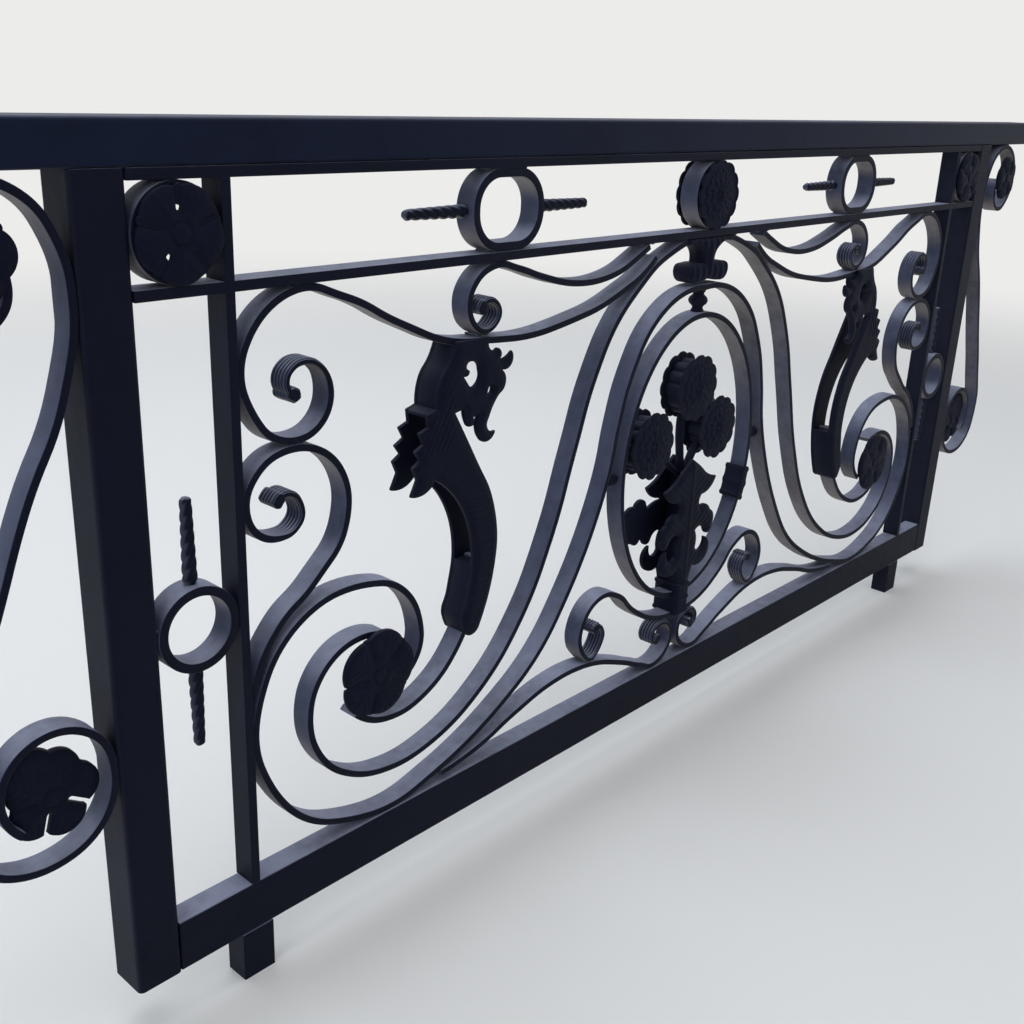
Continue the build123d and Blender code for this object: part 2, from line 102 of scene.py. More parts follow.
class RailingSizes(bpy.types.PropertyGroup):
    """Sizes of the bent bars and their ends"""

    thickness: FloatProperty(
        name="Flat bar thickness", description="Thickness of the flat bar", default=0.008, unit="LENGTH"
    )
    arris: FloatProperty(
        name="Arris", description="Rounding of a bar's edges under the paint", default=0.0011, unit="LENGTH"
    )
    flute_count: IntProperty(
        name="Ridges", description="Ridges rolled into the end of a scroll", default=5, min=1
    )
    flute_depth: FloatProperty(
        name="Groove depth", description="Depth of the grooves between the ridges",
        default=0.0017, unit="LENGTH"
    )
    flute_length: FloatProperty(
        name="Grooved length", description="Length of bar that is grooved", default=0.105, unit="LENGTH"
    )
    knob_radius: FloatProperty(
        name="Knob radius", description="Half thickness of the rolled tip", default=0.0078, unit="LENGTH"
    )
    ring_wall: FloatProperty(
        name="Ring wall", description="Thickness of the bar that the rings are bent from",
        default=0.010, unit="LENGTH"
    )
    ring_depth: FloatProperty(
        name="Ring depth", description="Width of the bar that the rings are bent from",
        default=0.028, unit="LENGTH"
    )
    band_ring_width: FloatProperty(
        name="Band ring width", description="Width of the cushion-shaped rings", default=0.114, unit="LENGTH"
    )
    band_ring_corner: FloatProperty(
        name="Band ring corner", description="Corner radius of those rings", default=0.0425, unit="LENGTH"
    )
    pin_radius: FloatProperty(
        name="Pin radius", description="Largest radius of the twisted pins", default=0.00775, unit="LENGTH"
    )
    plate: FloatProperty(
        name="Plate thickness", description="Thickness of the cast plates", default=0.006, unit="LENGTH"
    )
    head_radius: FloatProperty(
        name="Flower head radius", description="Radius of the bouquet's flower heads",
        default=0.0490, unit="LENGTH"
    )
    wrap: FloatProperty(
        name="Collar wrap", description="How far a collar stands out round what it wraps",
        default=0.004, unit="LENGTH"
    )
    bead_radius: FloatProperty(
        name="Weld bead radius", description="Radius of the weld beads", default=0.0019, unit="LENGTH"
    )
    bead_gap: FloatProperty(
        name="Weld bead distance", description="From the middle of a contact to each bead",
        default=0.011, unit="LENGTH"
    )
    grain: FloatProperty(
        name="Casting grid", description="Distance between points on a casting's face",
        default=0.0022, unit="LENGTH"
    )


class RailingPaint(bpy.types.PropertyGroup):
    """Colours of the paint, of what lies on it, and of the light and shade painted on it"""

    bar: FloatVectorProperty(
        name="Bar paint", description="Paint on bars and posts",
        subtype="COLOR", size=3, default=(0.0044, 0.0054, 0.0150)
    )
    casting: FloatVectorProperty(
        name="Casting paint", description="Paint on the castings",
        subtype="COLOR", size=3, default=(0.0040, 0.0050, 0.0150)
    )
    rail: FloatVectorProperty(
        name="Handrail paint", description="Paint on the handrail",
        subtype="COLOR", size=3, default=(0.0066, 0.0105, 0.0290)
    )
    # Painted light: the sky's light painted on flats that face sideways
    flat: FloatVectorProperty(
        name="Painted light on flats", description="Painted sky light on the broad flats",
        subtype="COLOR", size=3, default=(0.070, 0.080, 0.130)
    )
    # Painted highlight: the sky's sheen painted on flats that look up
    top: FloatVectorProperty(
        name="Painted sky sheen on tops", description="Painted sky sheen where a flat looks up",
        subtype="COLOR", size=3, default=(0.270, 0.290, 0.390)
    )
    # Painted light: light bounced off the ground painted on the undersides
    under: FloatVectorProperty(
        name="Undersides", description="Painted ground bounce light on the undersides",
        subtype="COLOR", size=3, default=(0.240, 0.220, 0.214)
    )
    # Painted light on the frame's sides, dimmer than on the bars
    side: FloatVectorProperty(
        name="Frame sides", description="Painted light on the sides of the frame", subtype="COLOR", size=3,
        default=(0.014, 0.016, 0.029)
    )
    rust: FloatVectorProperty(
        name="Rust", description="Rust at chips in the paint",
        subtype="COLOR", size=3, default=(0.060, 0.026, 0.014)
    )


# Lines of the scrolls, for the right half. A number that isn't drawn is a
# level where a strap lies against the frame or on its neighbour.
SEAT = 0.3
HALF = 4.0
AT_SIDE = OPENING_X * 1000 / STRETCH_X - SEAT - HALF
UNDER_BAR = OPENING_HEIGHT * 1000 / STRETCH_Z - SEAT - HALF
ON_RAIL = SEAT + HALF
SCROLLS = {
    "upper_scroll": [
        (708, 533), (715, 541), (715, 550), (706, 561), (690, 564), (672, 554), (663, 533), (667, 510),
        (683, 493), (708, 487), (733, 494), (758, 524), (AT_SIDE, 561), (750, 607), (698, UNDER_BAR),
        (640, 621), (569, 587), (500, 560), (431, 552), (363, 549), (294, 557), (226, 571), (190, 584),
        (153, 600), (124, 621),
    ],
    "small_scroll": [
        (446, 590), (437, 597), (426, 595), (417, 583), (425, 568), (443, 563.3), (461, 575), (467, 600),
        (454, 623), (425, UNDER_BAR), (386, 628), (351, 617), (289, 603), (240, 602), (191, 612),
        (166, 623), (140, UNDER_BAR),
    ],
    "side_scroll": [
        (730, 428), (722, 433), (711, 430), (703, 419), (701, 405), (710, 393), (733, 389), (757, 400),
        (AT_SIDE, 433), (749, 467), (706, 478.7), (668, 464), (644, 428), (647, 376), (689, 327),
        (734, 293), (760, 256), (AT_SIDE, 228),
    ],
    "outer_volute": [
        (562, 170), (539, 194), (540, 247), (569, 287), (626, 306), (683, 301), (734, 267), (760, 219),
        (AT_SIDE, 172), (750, 104), (700, 41), (640, 14), (585, ON_RAIL), (500, 21), (403, 61),
        (322, 116), (260, 196), (217, 276), (190, 350), (180, 400), (160, 464), (115, 533), (60, 565),
        (0, 571),
    ],
    "inner_volute": [
        (590, 235), (620, 243), (656, 236), (688, 206), (698, 160), (677, 105), (631, 70), (574, 57),
        (500, 69), (415, 118), (350, 193), (303, 287), (268, 390), (240, 470), (197, 545), (147, 591),
        (119, 611), (90, 624), (55, UNDER_BAR),
    ],
    "rosette_strap": [(634, 150), (612, 134), (569, 125), (511, 144), (466, 190), (445, 235), (437, 286)],
    "lower_scroll": [
        (43, 44), (51, 42), (57, 51), (51, 64), (33, 68), (14, 58), (9, 36), (24, 14), (52, ON_RAIL),
        (85, 16), (130, 36), (205, 60), (252, 64), (300, 60), (363, 44), (431, 22), (497, 12),
    ],
    "medallion_curl": [
        (197, 113), (188, 112), (180, 101), (184, 85), (205, 68.3), (225, 84), (233, 108), (227, 131),
        (208, 152), (181, 159), (152, 149), (112, 114), (70, 89), (0, 77),
    ],
}
FLUTED = ("upper_scroll", "small_scroll", "side_scroll", "lower_scroll", "medallion_curl")

# The wing's line: distance from the post, and drop under the handrail
POST_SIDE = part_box("right_post")[1].x - MIDDLE_X
HANDRAIL_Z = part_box("handrail")[0].z
WING_X = (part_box("handrail")[1].x - MIDDLE_X - POST_SIDE) / DRAWN_WING[0]
WING_Z = HANDRAIL_Z / DRAWN_WING[1]
WING_LINE = [
    (78, 68), (61, 74), (57, 95), (68, 113), (92, 121), (122, 104), (139, 64), (120, 21), (80, ON_RAIL),
    (36, 20), (10, 62), (ON_RAIL, 112), (20, 183), (63, 274), (96, 360), (130, 445), (153, 528),
    (132, 594), (78, 617), (27, 600), (ON_RAIL, 544), (20, 500), (62, 482), (100, 500), (112, 540),
    (96, 572),
]
# Where one strap rests on another
STRAP_CONTACTS = [(707, 482.8), (443, 559.2), (205, 64.2)]
# Flower heads of the bouquet (middle, and share of the radius) and their stems
FLOWER_HEADS = [(-3, 428, 1.0), (60, 360, 0.98), (-101, 361, 1.0)]
STEMS = [
    [(-10, 412), (-16, 365), (-11, 330), (-3, 296)],
    [(52, 362), (30, 338), (6, 300)],
    [(-92, 362), (-56, 332), (-8, 296)],
]

# The bouquet's stalk: height and half width
STALK = [(134, 11), (200, 16.5), (296, 13), (308, 7), (314, 1.5)]

# How finely bars are drawn, and where a skin's edges are sharp
FINE_STEP = 0.0022
PLAIN_STEP = 0.012
SHARP_FROM = math.radians(35)
# How deep a pin is rooted in its ring, and how much the band's pins fall short
ROOTED = 0.001
PIN_SHORT = 0.004
# Rounding of a casting's rim, and how far relief may stand up from it
CAST_RIM = 0.0014
LEAFAGE_RIM = 0.0013
BUD_RIM = 0.0030
RELIEF_TOP = 0.0034
# Grid of a casting's face: rows apart, and distance kept from the edge, as shares
ROWS_APART = 0.866
KEPT_CLEAR = 0.85
# Edge of a flower head: how far in from the petals, and how far behind the face
FLOWER_EDGE = [(0.0006, 0.0052), (0.0022, 0.0066), (0.0085, 0.0080)]
THICK_HEAD = 0.015
# Least and largest size of the outline of a flower head among the bouquet's lines
HEAD_OUTLINE = (0.060, 0.092)
# Folds behind the slits of a leaf: half width, and how far they lie back
WEB_HALF = 0.0052
WEB_BACK = 0.0010
# Thickness of a wing's upper leaf, and half the thickness of its lower leaf
WING_LEAF = 0.008
WING_LEAF_HALF = 0.0052
# A dragon is filled between its plates up to one share of its height, and from another
TAIL_FILLED = 0.25
HEAD_FILLED = 0.785
# Rounding of a wrapped collar's ends, and how far its bands stand out
COLLAR_END = 0.0016
BAND_RISE = 0.0014
# Half width of the collar at the medallion's foot, and how far it laps over the oval
FOOT_HALF = 0.017
FOOT_LAP = 0.022
# Turned pieces as (along, radius): a spool in metres, a knop with shares of its height
SPOOL = [
    (-0.0155, 0.0052), (-0.012, 0.0056), (-0.010, 0.0079), (-0.007, 0.0080), (-0.005, 0.0060),
    (-0.0035, 0.0080), (0.0035, 0.0080), (0.005, 0.0060), (0.007, 0.0080), (0.010, 0.0079),
    (0.012, 0.0056), (0.0175, 0.0052),
]
KNOP = [
    (0.05, 0.0092), (0.16, 0.0074), (0.24, 0.0080), (0.36, 0.0122), (0.50, 0.0139), (0.64, 0.0122),
    (0.76, 0.0080), (0.84, 0.0078), (0.92, 0.0098),
]
# Sleeve on the medallion's side: drop below its middle, height and number of rings
SLEEVE_DROP = 0.071
SLEEVE_TALL = 0.048
SLEEVE_RINGS = 30
# How far a weld bead's middle lies off the frame, and inside a ring
BEAD_OFF = 0.0009
BEAD_IN = 0.0006
# Half the distance between the beads of a band ring, and of an end cell's ring
BAND_BEADS = 0.028
END_BEADS = 0.011


def on_panel(point):
    """A drawn point (millimetres) as metres: across from the panel's middle, and height."""
    return np.array([point[0] * STRETCH_X, point[1] * STRETCH_Z]) / 1000 + np.array([0, OPENING_Z])


def on_wing(point):
    """A drawn point of a wing as metres: across from the panel's middle, and height."""
    return np.array([POST_SIDE + point[0] * WING_X / 1000, HANDRAIL_Z - point[1] * WING_Z / 1000])


def smooth(t):
    """An even step from 0 to 1."""
    t = np.clip(t, 0.0, 1.0)
    return t * t * (3 - 2 * t)


def distances(points):
    """How far along a line each of its points lies."""
    return np.concatenate([[0], np.cumsum(np.linalg.norm(np.diff(points, axis=0), axis=1))])


def turns(count, shift=0.0):
    """Angles all round, evenly spaced."""
    return [2 * math.pi * (n + shift) / count for n in range(count)]


def arcs_through(points):
    """Pairs of tangent arcs through points: (start, its way, end, its way)."""
    chords = [q - p for p, q in zip(points, points[1:])]
    ways = []
    for before, after in zip(chords, chords[1:]):
        way = before / before.dot(before) + after / after.dot(after)
        ways.append(way / np.linalg.norm(way))
    first = chords[0] / np.linalg.norm(chords[0])
    last = chords[-1] / np.linalg.norm(chords[-1])
    ways.insert(0, first * (2 * first.dot(ways[0])) - ways[0])
    ways.append(last * (2 * last.dot(ways[-1])) - ways[-1])
    arcs = []
    for p, q, go, come in zip(points, points[1:], ways, ways[1:]):
        chord = q - p
        spread = 2 * (1 - go.dot(come))
        reach = chord.dot(go + come)
        if spread > 1e-6:
            reach = (math.sqrt(reach**2 + spread * chord.dot(chord)) - reach) / spread
        else:
            reach = chord.dot(chord) / (2 * reach)
        joint = (p + q + (go - come) * reach) / 2
        way = (joint - p) / np.linalg.norm(joint - p)
        way = way * (2 * way.dot(go)) - go
        arcs.append((p, go, joint, way))
        arcs.append((joint, way, q, come))
    return arcs


def walk(arcs, step, turn=math.radians(5)):
    """Places and ways along arcs, no further apart than step or a small turn."""
    places, ways = [], []
    for p, go, q, come in arcs:
        angle = math.atan2(go[0] * come[1] - go[1] * come[0], go.dot(come))
        length = np.linalg.norm(q - p)
        left = np.array([-go[1], go[0]])
        radius = length / (2 * math.sin(abs(angle) / 2)) if abs(angle) > 1e-4 else 0
        length = radius * abs(angle) if radius else length
        count = max(1, math.ceil(abs(angle) / turn), math.ceil(length / step))
        for k in range(count):
            t = k / count
            if radius:
                a = abs(angle) * t
                place = p + radius * (math.sin(a) * go + math.copysign(1 - math.cos(a), angle) * left)
                a = angle * t
            else:
                place = p + (q - p) * t
                a = angle * t
            places.append(place)
            ways.append(go * math.cos(a) + left * math.sin(a))
    places.append(arcs[-1][2])
    ways.append(arcs[-1][3])
    return np.array(places), np.array(ways)


def new_piece(name, skin, paint, node=None):
    """A mesh object made from a skin, its faces turned outwards, in place of a node if one is named.

    Its paint is the record's slot; the material has the same name with a space.
    """
    verts, faces = skin
    mesh = bpy.data.meshes.new(name)
    mesh.from_pydata([tuple(v) for v in verts], [], [tuple(f) for f in faces])
    mesh.validate()
    bm = bmesh.new()
    bm.from_mesh(mesh)
    bmesh.ops.recalc_face_normals(bm, faces=bm.faces)
    bm.to_mesh(mesh)
    bm.free()
    mesh.shade_smooth()
    mesh.set_sharp_from_angle(angle=SHARP_FROM)
    obj = bpy.data.objects.new(name, mesh)
    bpy.context.scene.collection.objects.link(obj)
    mesh.materials.append(bpy.data.materials[paint.replace("_", " ")])
    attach(obj, "root")
    if node:
        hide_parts(node)


def shell(rings, closed=False, last=True):
    """Points and faces of a skin over rings of equal point count."""
    count = len(rings[0])
    verts = [v for ring in rings for v in ring]
    faces = []
    spans = len(rings) if closed else len(rings) - 1
    for i in range(spans):
        a = i * count
        b = ((i + 1) % len(rings)) * count
        for k in range(count):
            n = (k + 1) % count
            faces.append((a + k, a + n, b + n, b + k))
    if not closed:
        faces.append(tuple(range(count - 1, -1, -1)))
    if not closed and last:
        a = (len(rings) - 1) * count
        faces.append(tuple(range(a, a + count)))
    return verts, faces


def join(*shells):
    """Several skins as one list of points and faces."""
    verts, faces = [], []
    for more_verts, more_faces in shells:
        base = len(verts)
        verts += list(more_verts)
        faces += [tuple(i + base for i in face) for face in more_faces]
    return verts, faces


def bar_section(half, depth, arris, flutes=0, groove=0.0, fine=6):
    """A bar's section: across its thickness, and along its depth from its middle."""
    edge = depth / 2
    r = min(arris, half * 0.8)
    corner = [(1 - math.cos(a), 1 - math.sin(a)) for a in (math.radians(30), math.radians(60))]
    side = []
    if flutes:
        for k in range(flutes * fine + 1):
            t = k / (flutes * fine)
            ridge = abs(math.sin(math.pi * flutes * t))
            side.append((half + groove * (ridge**0.8 - 1), (2 * t - 1) * (edge - r)))
        low = half - groove
    else:
        side = [(half, -(edge - r)), (half, edge - r)]
        low = half
    turn = [(low - r * a, -(edge - r) - r * (1 - b)) for a, b in corner]
    outer = turn[::-1] + side + [(u, -v) for u, v in turn]
    outer = [(low - r, -edge)] + outer + [(low - r, edge)]
    inner = [(-u, v) for u, v in reversed(outer)]
    return outer + inner


def placed(place, left, section, y, mirror_x=1):
    """A section set across a line of the panel, at the scrollwork's depth."""
    return [
        (MIDDLE_X + mirror_x * (place[0] + left[0] * u), y + v, place[1] + left[1] * u)
        for u, v in section
    ]


def tip_half(s, sizes):
    """Half thickness of a strap at its rolled tip, s along it from the tip's middle."""
    half = sizes.thickness / 2
    reach = sizes.knob_radius
    if s > 1.5 * reach:
        return half
    across = math.sqrt(max(0.0, 1 - (s / reach) ** 2)) if abs(s) < reach else 0.0
    flat = reach * min(1.0, 1.12 * across + 0.1)
    return max(half if s > 0 else 0.0006, flat)


def strap(arcs, sizes, fluted, mirror_x):
    """A flat bar bent on edge, its first end grooved and rolled if it is fluted."""
    places, ways = walk(arcs, FINE_STEP if fluted else PLAIN_STEP, math.radians(4))

    def ring(place, way, half, flutes=0, groove=0.0):
        section = bar_section(half, STRAP_DEPTH, sizes.arris, flutes, groove)
        return placed(place, (-way[1], way[0]), section, MIDDLE_Y, mirror_x)

    rings, plain = [], []
    if fluted:
        for k in range(7):
            s = -sizes.knob_radius * math.cos(math.radians(90 * k / 7))
            spot = places[0] + ways[0] * s
            rings.append(ring(spot, ways[0], tip_half(s, sizes), sizes.flute_count, sizes.flute_depth))
    for place, way, s in zip(places, ways, distances(places)):
        if fluted and s <= sizes.flute_length:
            groove = sizes.flute_depth * smooth((sizes.flute_length - s) / (0.45 * sizes.flute_length))
            rings.append(ring(place, way, tip_half(s, sizes), sizes.flute_count, groove))
            if s + 0.0024 > sizes.flute_length:
                plain = [ring(place, way, sizes.thickness / 2)]
        else:
            plain.append(ring(place, way, sizes.thickness / 2))
    return join(shell(rings), shell(plain)) if rings else shell(plain)


class RAILING_OT_scrolls(bpy.types.Operator):
    """Bend the scrolls from flat bar, with grooved and rolled ends"""

    bl_idname = "railing.scrolls"
    bl_label = "Bend the scrolls"

    def execute(self, context):
        sizes = context.scene.railing_sizes
        lines = {name: [on_panel(p) for p in points] for name, points in SCROLLS.items()}
        lines["wing_scroll"] = [on_wing(p) for p in WING_LINE]
        for side, mirror_x in (("left", -1), ("right", 1)):
            for name, line in lines.items():
                skin = strap(arcs_through(line), sizes, name in FLUTED, mirror_x)
                new_piece(f"{side}_{name}_bar", skin, "bar_paint", f"{side}_{name}")
        return {"FINISHED"}


def between_lines(far, near, section):
    """A section set across the bar between a far and a near point."""
    middle, span = (far + near) / 2, far - near
    span = span / np.linalg.norm(span)
    return [(middle[0] + span[0] * u, MIDDLE_Y + v, middle[1] + span[1] * u) for u, v in section]


def ring_bar(outer, inner, depth, arris):
    """A closed bar between an outer and an inner line of equal point count."""
    rings = []
    for far, near in zip(outer, inner):
        half = np.linalg.norm(far - near) / 2
        rings.append(between_lines(far, near, bar_section(half, depth, arris)))
    return shell(rings, closed=True)


def oval_ring(middle, width, height, wall, depth, arris, count=120):
    """A round or oval ring bent from a bar."""
    outer = oval_line(middle, width, height, count)
    inner = oval_line(middle, width - 2 * wall, height - 2 * wall, count)
    return ring_bar(outer, inner, depth, arris)


def oval_line(middle, width, height, count=120, start=0.0, stop=2 * math.pi):
    """Points of an ellipse, all round or over part of it."""
    closed = stop - start > 6.28
    line = []
    for k in range(count):
        t = start + (stop - start) * k / (count if closed else count - 1)
        line.append(np.array([middle[0] + width / 2 * math.cos(t), middle[1] + height / 2 * math.sin(t)]))
    return line


def cushion_line(middle, width, height, corner, fine=18):
    """Points of a rectangle with rounded corners."""
    line = []
    for k, (sx, sz) in enumerate(((1, 1), (-1, 1), (-1, -1), (1, -1))):
        for n in range(fine + 1):
            a = math.radians(90 * (k + n / fine))
            x = middle[0] + sx * (width / 2 - corner) + corner * math.cos(a)
            z = middle[1] + sz * (height / 2 - corner) + corner * math.sin(a)
            line.append(np.array([x, z]))
    return line


def capsule_line(start, end, radius, fine=8):
    """Points round a slot with round ends."""
    way = (end - start) / np.linalg.norm(end - start)
    left = np.array([-way[1], way[0]])
    line = []
    for place, sign in ((end, 1), (start, -1)):
        for n in range(fine + 1):
            a = math.radians(-90 + 180 * n / fine)
            line.append(place + sign * radius * (math.cos(a) * way + math.sin(a) * left))
    return np.array(line)


def twisted_bar(start, way, length, radius, strands=3, pitch=0.0396):
    """A tapered bar twisted like a rope, from start along way, ending in a blunt nose."""
    side = np.array([way[2], 0.0, -way[0]])
    deep = np.array([0.0, 1.0, 0.0])
    count = int(length / 0.0013)
    rings = []
    for k in range(count + 1):
        s = length * k / count
        here = radius * (1 - 0.24 * s / length)
        nose = length - 0.75 * here
        if s > nose:
            here *= math.sqrt(max(0.012, 1 - ((s - nose) / (length - nose)) ** 2))
        if s < 0.007:
            here *= 0.62 + 0.38 * math.sin(math.pi / 2 * s / 0.007)
        ring = []
        for a in turns(30):
            lobe = abs(math.cos(strands / 2 * (a - 2 * math.pi * s / pitch)))
            r = here * (0.80 + 0.20 * lobe**0.7)
            ring.append(tuple(start + way * s + r * (math.cos(a) * side + math.sin(a) * deep)))
        rings.append(ring)
    return shell(rings)


def box_middle(low, high):
    """The middle of a box, seen from the front."""
    return np.array([(low[0] + high[0]) / 2, (low[2] + high[2]) / 2])


def turned_over(skin):
    """A skin mirrored about the panel's middle."""
    verts, faces = skin
    return [(2 * MIDDLE_X - v[0], v[1], v[2]) for v in verts], [tuple(reversed(f)) for f in faces]


class RAILING_OT_rings(bpy.types.Operator):
    """Bend the medallion and the rings, and twist the pins that stand on them"""

    bl_idname = "railing.rings"
    bl_label = "Bend the rings"

    def execute(self, context):
        sizes = context.scene.railing_sizes
        bar = (sizes.ring_wall, sizes.ring_depth, sizes.arris)
        low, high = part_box("medallion_oval")
        size = (high.x - low.x, high.z - low.z)
        skin = oval_ring(box_middle(low, high), *size, sizes.thickness, STRAP_DEPTH, sizes.arris, 180)
        new_piece("medallion_oval_bar", skin, "bar_paint", "medallion_oval")
        low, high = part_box("centre_ring")
        skin = oval_ring(box_middle(low, high), high.x - low.x, high.z - low.z, *bar)
        new_piece("centre_ring_bar", skin, "bar_paint", "centre_ring")
        # Cushion-shaped rings of the band, a pin on each side
        low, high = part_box("left_band_ring")
        middle, height = box_middle(low, high), high.z - low.z
        width, corner, wall = sizes.band_ring_width, sizes.band_ring_corner, sizes.ring_wall
        outer = cushion_line(middle, width, height, corner)
        inner = cushion_line(middle, width - 2 * wall, height - 2 * wall, corner - wall)
        reach = (high.x - low.x - width) / 2 - PIN_SHORT
        pins = self.pins(middle, width / 2, reach, ((-1.0, 0.0, 0.0), (1.0, 0.0, 0.0)), sizes)
        self.pair("band_ring", join(ring_bar(outer, inner, *bar[1:]), *pins))
        # Rings of the end cells: one in the band, and one lower with a pin up and a pin down
        gap = (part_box("left_post")[1].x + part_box("left_inner_upright")[0].x) / 2
        low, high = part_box("end_top_rings")
        middle = np.array([gap, (low.z + high.z) / 2])
        skin = oval_ring(middle, 2 * (gap - low.x), high.z - low.z, *bar)
        new_piece("end_top_ring_bars", join(skin, turned_over(skin)), "bar_paint", "end_top_rings")
        low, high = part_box("left_end_ring")
        middle, width = box_middle(low, high), high.x - low.x
        reach = (high.z - low.z - width) / 2
        pins = self.pins(middle, width / 2, reach, ((0.0, 0.0, -1.0), (0.0, 0.0, 1.0)), sizes)
        self.pair("end_ring", join(oval_ring(middle, width, width, *bar), *pins))
        return {"FINISHED"}

    def pins(self, middle, out, reach, ways, sizes):
        """Twisted pins that stand on a ring, rooted a little way into it."""
        skins = []
        for way in ways:
            way = np.array(way)
            start = np.array([middle[0], MIDDLE_Y, middle[1]]) + way * (out - ROOTED)
            skins.append(twisted_bar(start, way, reach + ROOTED, sizes.pin_radius))
        return skins

    def pair(self, name, skin):
        """The left one of two like rings, and its mirror image."""
        for side, made in (("left", skin), ("right", turned_over(skin))):
            new_piece(f"{side}_{name}_bar", made, "bar_paint", f"{side}_{name}")


def cut_lines(name, y):
    """Closed lines of a node's solids where a plane of one depth cuts them."""
    bm = bmesh.new()
    bm.from_mesh(NODES[name].data)
    bmesh.ops.remove_doubles(bm, verts=bm.verts, dist=1e-6)
    whole = [*bm.verts, *bm.edges, *bm.faces]
    cut = bmesh.ops.bisect_plane(bm, geom=whole, plane_co=(0, y, 0), plane_no=(0, 1, 0))["geom_cut"]
    near = {}
    for edge in (e for e in cut if isinstance(e, bmesh.types.BMEdge)):
        a, b = edge.verts
        near.setdefault(a, []).append(b)
        near.setdefault(b, []).append(a)
    loops, seen = [], set()
    for first in near:
        if first in seen:
            continue
        loop, before, here = [], None, first
        while here not in seen:
            seen.add(here)
            loop.append((here.co.x, here.co.z))
            ahead = [v for v in near[here] if v is not before and v not in seen]
            if not ahead:
                break
            before, here = here, ahead[0]
        if len(loop) > 2:
            loops.append(np.array(loop))
    bm.free()
    return loops


def even_line(loop, step):
    """A closed line with its corners kept and points about a step apart between them."""
    ahead = np.roll(loop, -1, axis=0) - loop
    ahead /= np.maximum(np.linalg.norm(ahead, axis=1), 1e-12)[:, None]
    behind = np.roll(ahead, 1, axis=0)
    corners = np.nonzero((ahead * behind).sum(axis=1) < math.cos(math.radians(24)))[0]
    if len(corners) == 0:
        corners = np.array([0])
    line = []
    for a, b in zip(corners, np.roll(corners, -1)):
        span = np.arange(a, (b if b > a else b + len(loop)) + 1) % len(loop)
        run = loop[span]
        lengths = distances(run)
        count = max(1, round(lengths[-1] / step))
        for s in np.linspace(0, lengths[-1], count + 1)[:-1]:
            line.append((np.interp(s, lengths, run[:, 0]), np.interp(s, lengths, run[:, 1])))
    return np.array(line)


def inside(points, loops):
    """Whether each point lies in the area that closed lines bound."""
    odd = np.zeros(len(points), bool)
    for loop in loops:
        a, b = loop, np.roll(loop, -1, axis=0)
        for (ax, az), (bx, bz) in zip(a, b):
            if az == bz:
                continue
            cross = (az > points[:, 1]) != (bz > points[:, 1])
            odd ^= cross & (points[:, 0] < (bx - ax) * (points[:, 1] - az) / (bz - az) + ax)
    return odd


def kept_between(loops, low, high):
    """The parts of closed lines that lie between two heights."""
    kept = []
    for loop in loops:
        for sign, limit in ((1, low), (-1, high)):
            line = []
            for a, b in zip(loop, np.roll(loop, -1, axis=0)):
                here, there = sign * (a[1] - limit), sign * (b[1] - limit)
                if here >= 0:
                    line.append(a)
                if here * there < 0:
                    line.append(a + (b - a) * here / (here - there))
            loop = np.array(line) if len(line) > 2 else np.zeros((0, 2))
            if not len(loop):
                break
        if len(loop):
            kept.append(loop)
    return kept


def cast_face(loops, grain, rim):
    """Triangles over an outline: points, how far each is from the edge, triangles."""
    edge = np.concatenate(loops)
    links, base = [], 0
    for loop in loops:
        links += [(base + k, base + (k + 1) % len(loop)) for k in range(len(loop))]
        base += len(loop)
    tree = kdtree.KDTree(4 * len(edge))
    for n, (a, b) in enumerate(links):
        for k in range(4):
            spot = edge[a] + (edge[b] - edge[a]) * k / 4
            tree.insert((spot[0], spot[1], 0), 4 * n + k)
    tree.balance()
    (x0, z0), (x1, z1) = edge.min(axis=0), edge.max(axis=0)
    spots = []
    for row in range(int((z1 - z0) / (ROWS_APART * grain)) + 1):
        for column in range(int((x1 - x0) / grain) + 2):
            x = x0 + (column + 0.5 * (row % 2)) * grain
            spots.append((x, z0 + row * ROWS_APART * grain, KEPT_CLEAR * grain + rim))
    base = 0
    for loop in loops:
        along = np.roll(loop, -1, axis=0) - np.roll(loop, 1, axis=0)
        along /= np.maximum(np.linalg.norm(along, axis=1), 1e-12)[:, None]
        across = np.stack([-along[:, 1], along[:, 0]], axis=1)
        for reach in (0.4 * rim, rim):
            for way in (-1, 1):
                spots += [(x, z, KEPT_CLEAR * reach) for x, z in loop + way * across * reach]
    spots = np.array(spots)
    spots = spots[inside(spots[:, :2], loops)]
    keep = [tree.find((x, z, 0))[2] >= least for x, z, least in spots]
    spots = spots[np.array(keep), :2]
    points = [Vector(p) for p in np.concatenate([edge, spots])]
    made = geometry.delaunay_2d_cdt(points, links, [], 0, 1e-7, True)
    flat = np.array([(p.x, p.y) for p in made[0]])
    middles = np.array([flat[list(f)].mean(axis=0) for f in made[2]])
    triangles = [tuple(f) for f, ok in zip(made[2], inside(middles, loops)) if ok]
    origin = [ids[0] if ids else -1 for ids in made[3]]
    apart = [
        0.0 if 0 <= o < len(edge) else tree.find((x, z, 0))[2]
        for o, (x, z) in zip(origin, flat)
    ]
    return flat, np.array(apart), triangles, origin, links


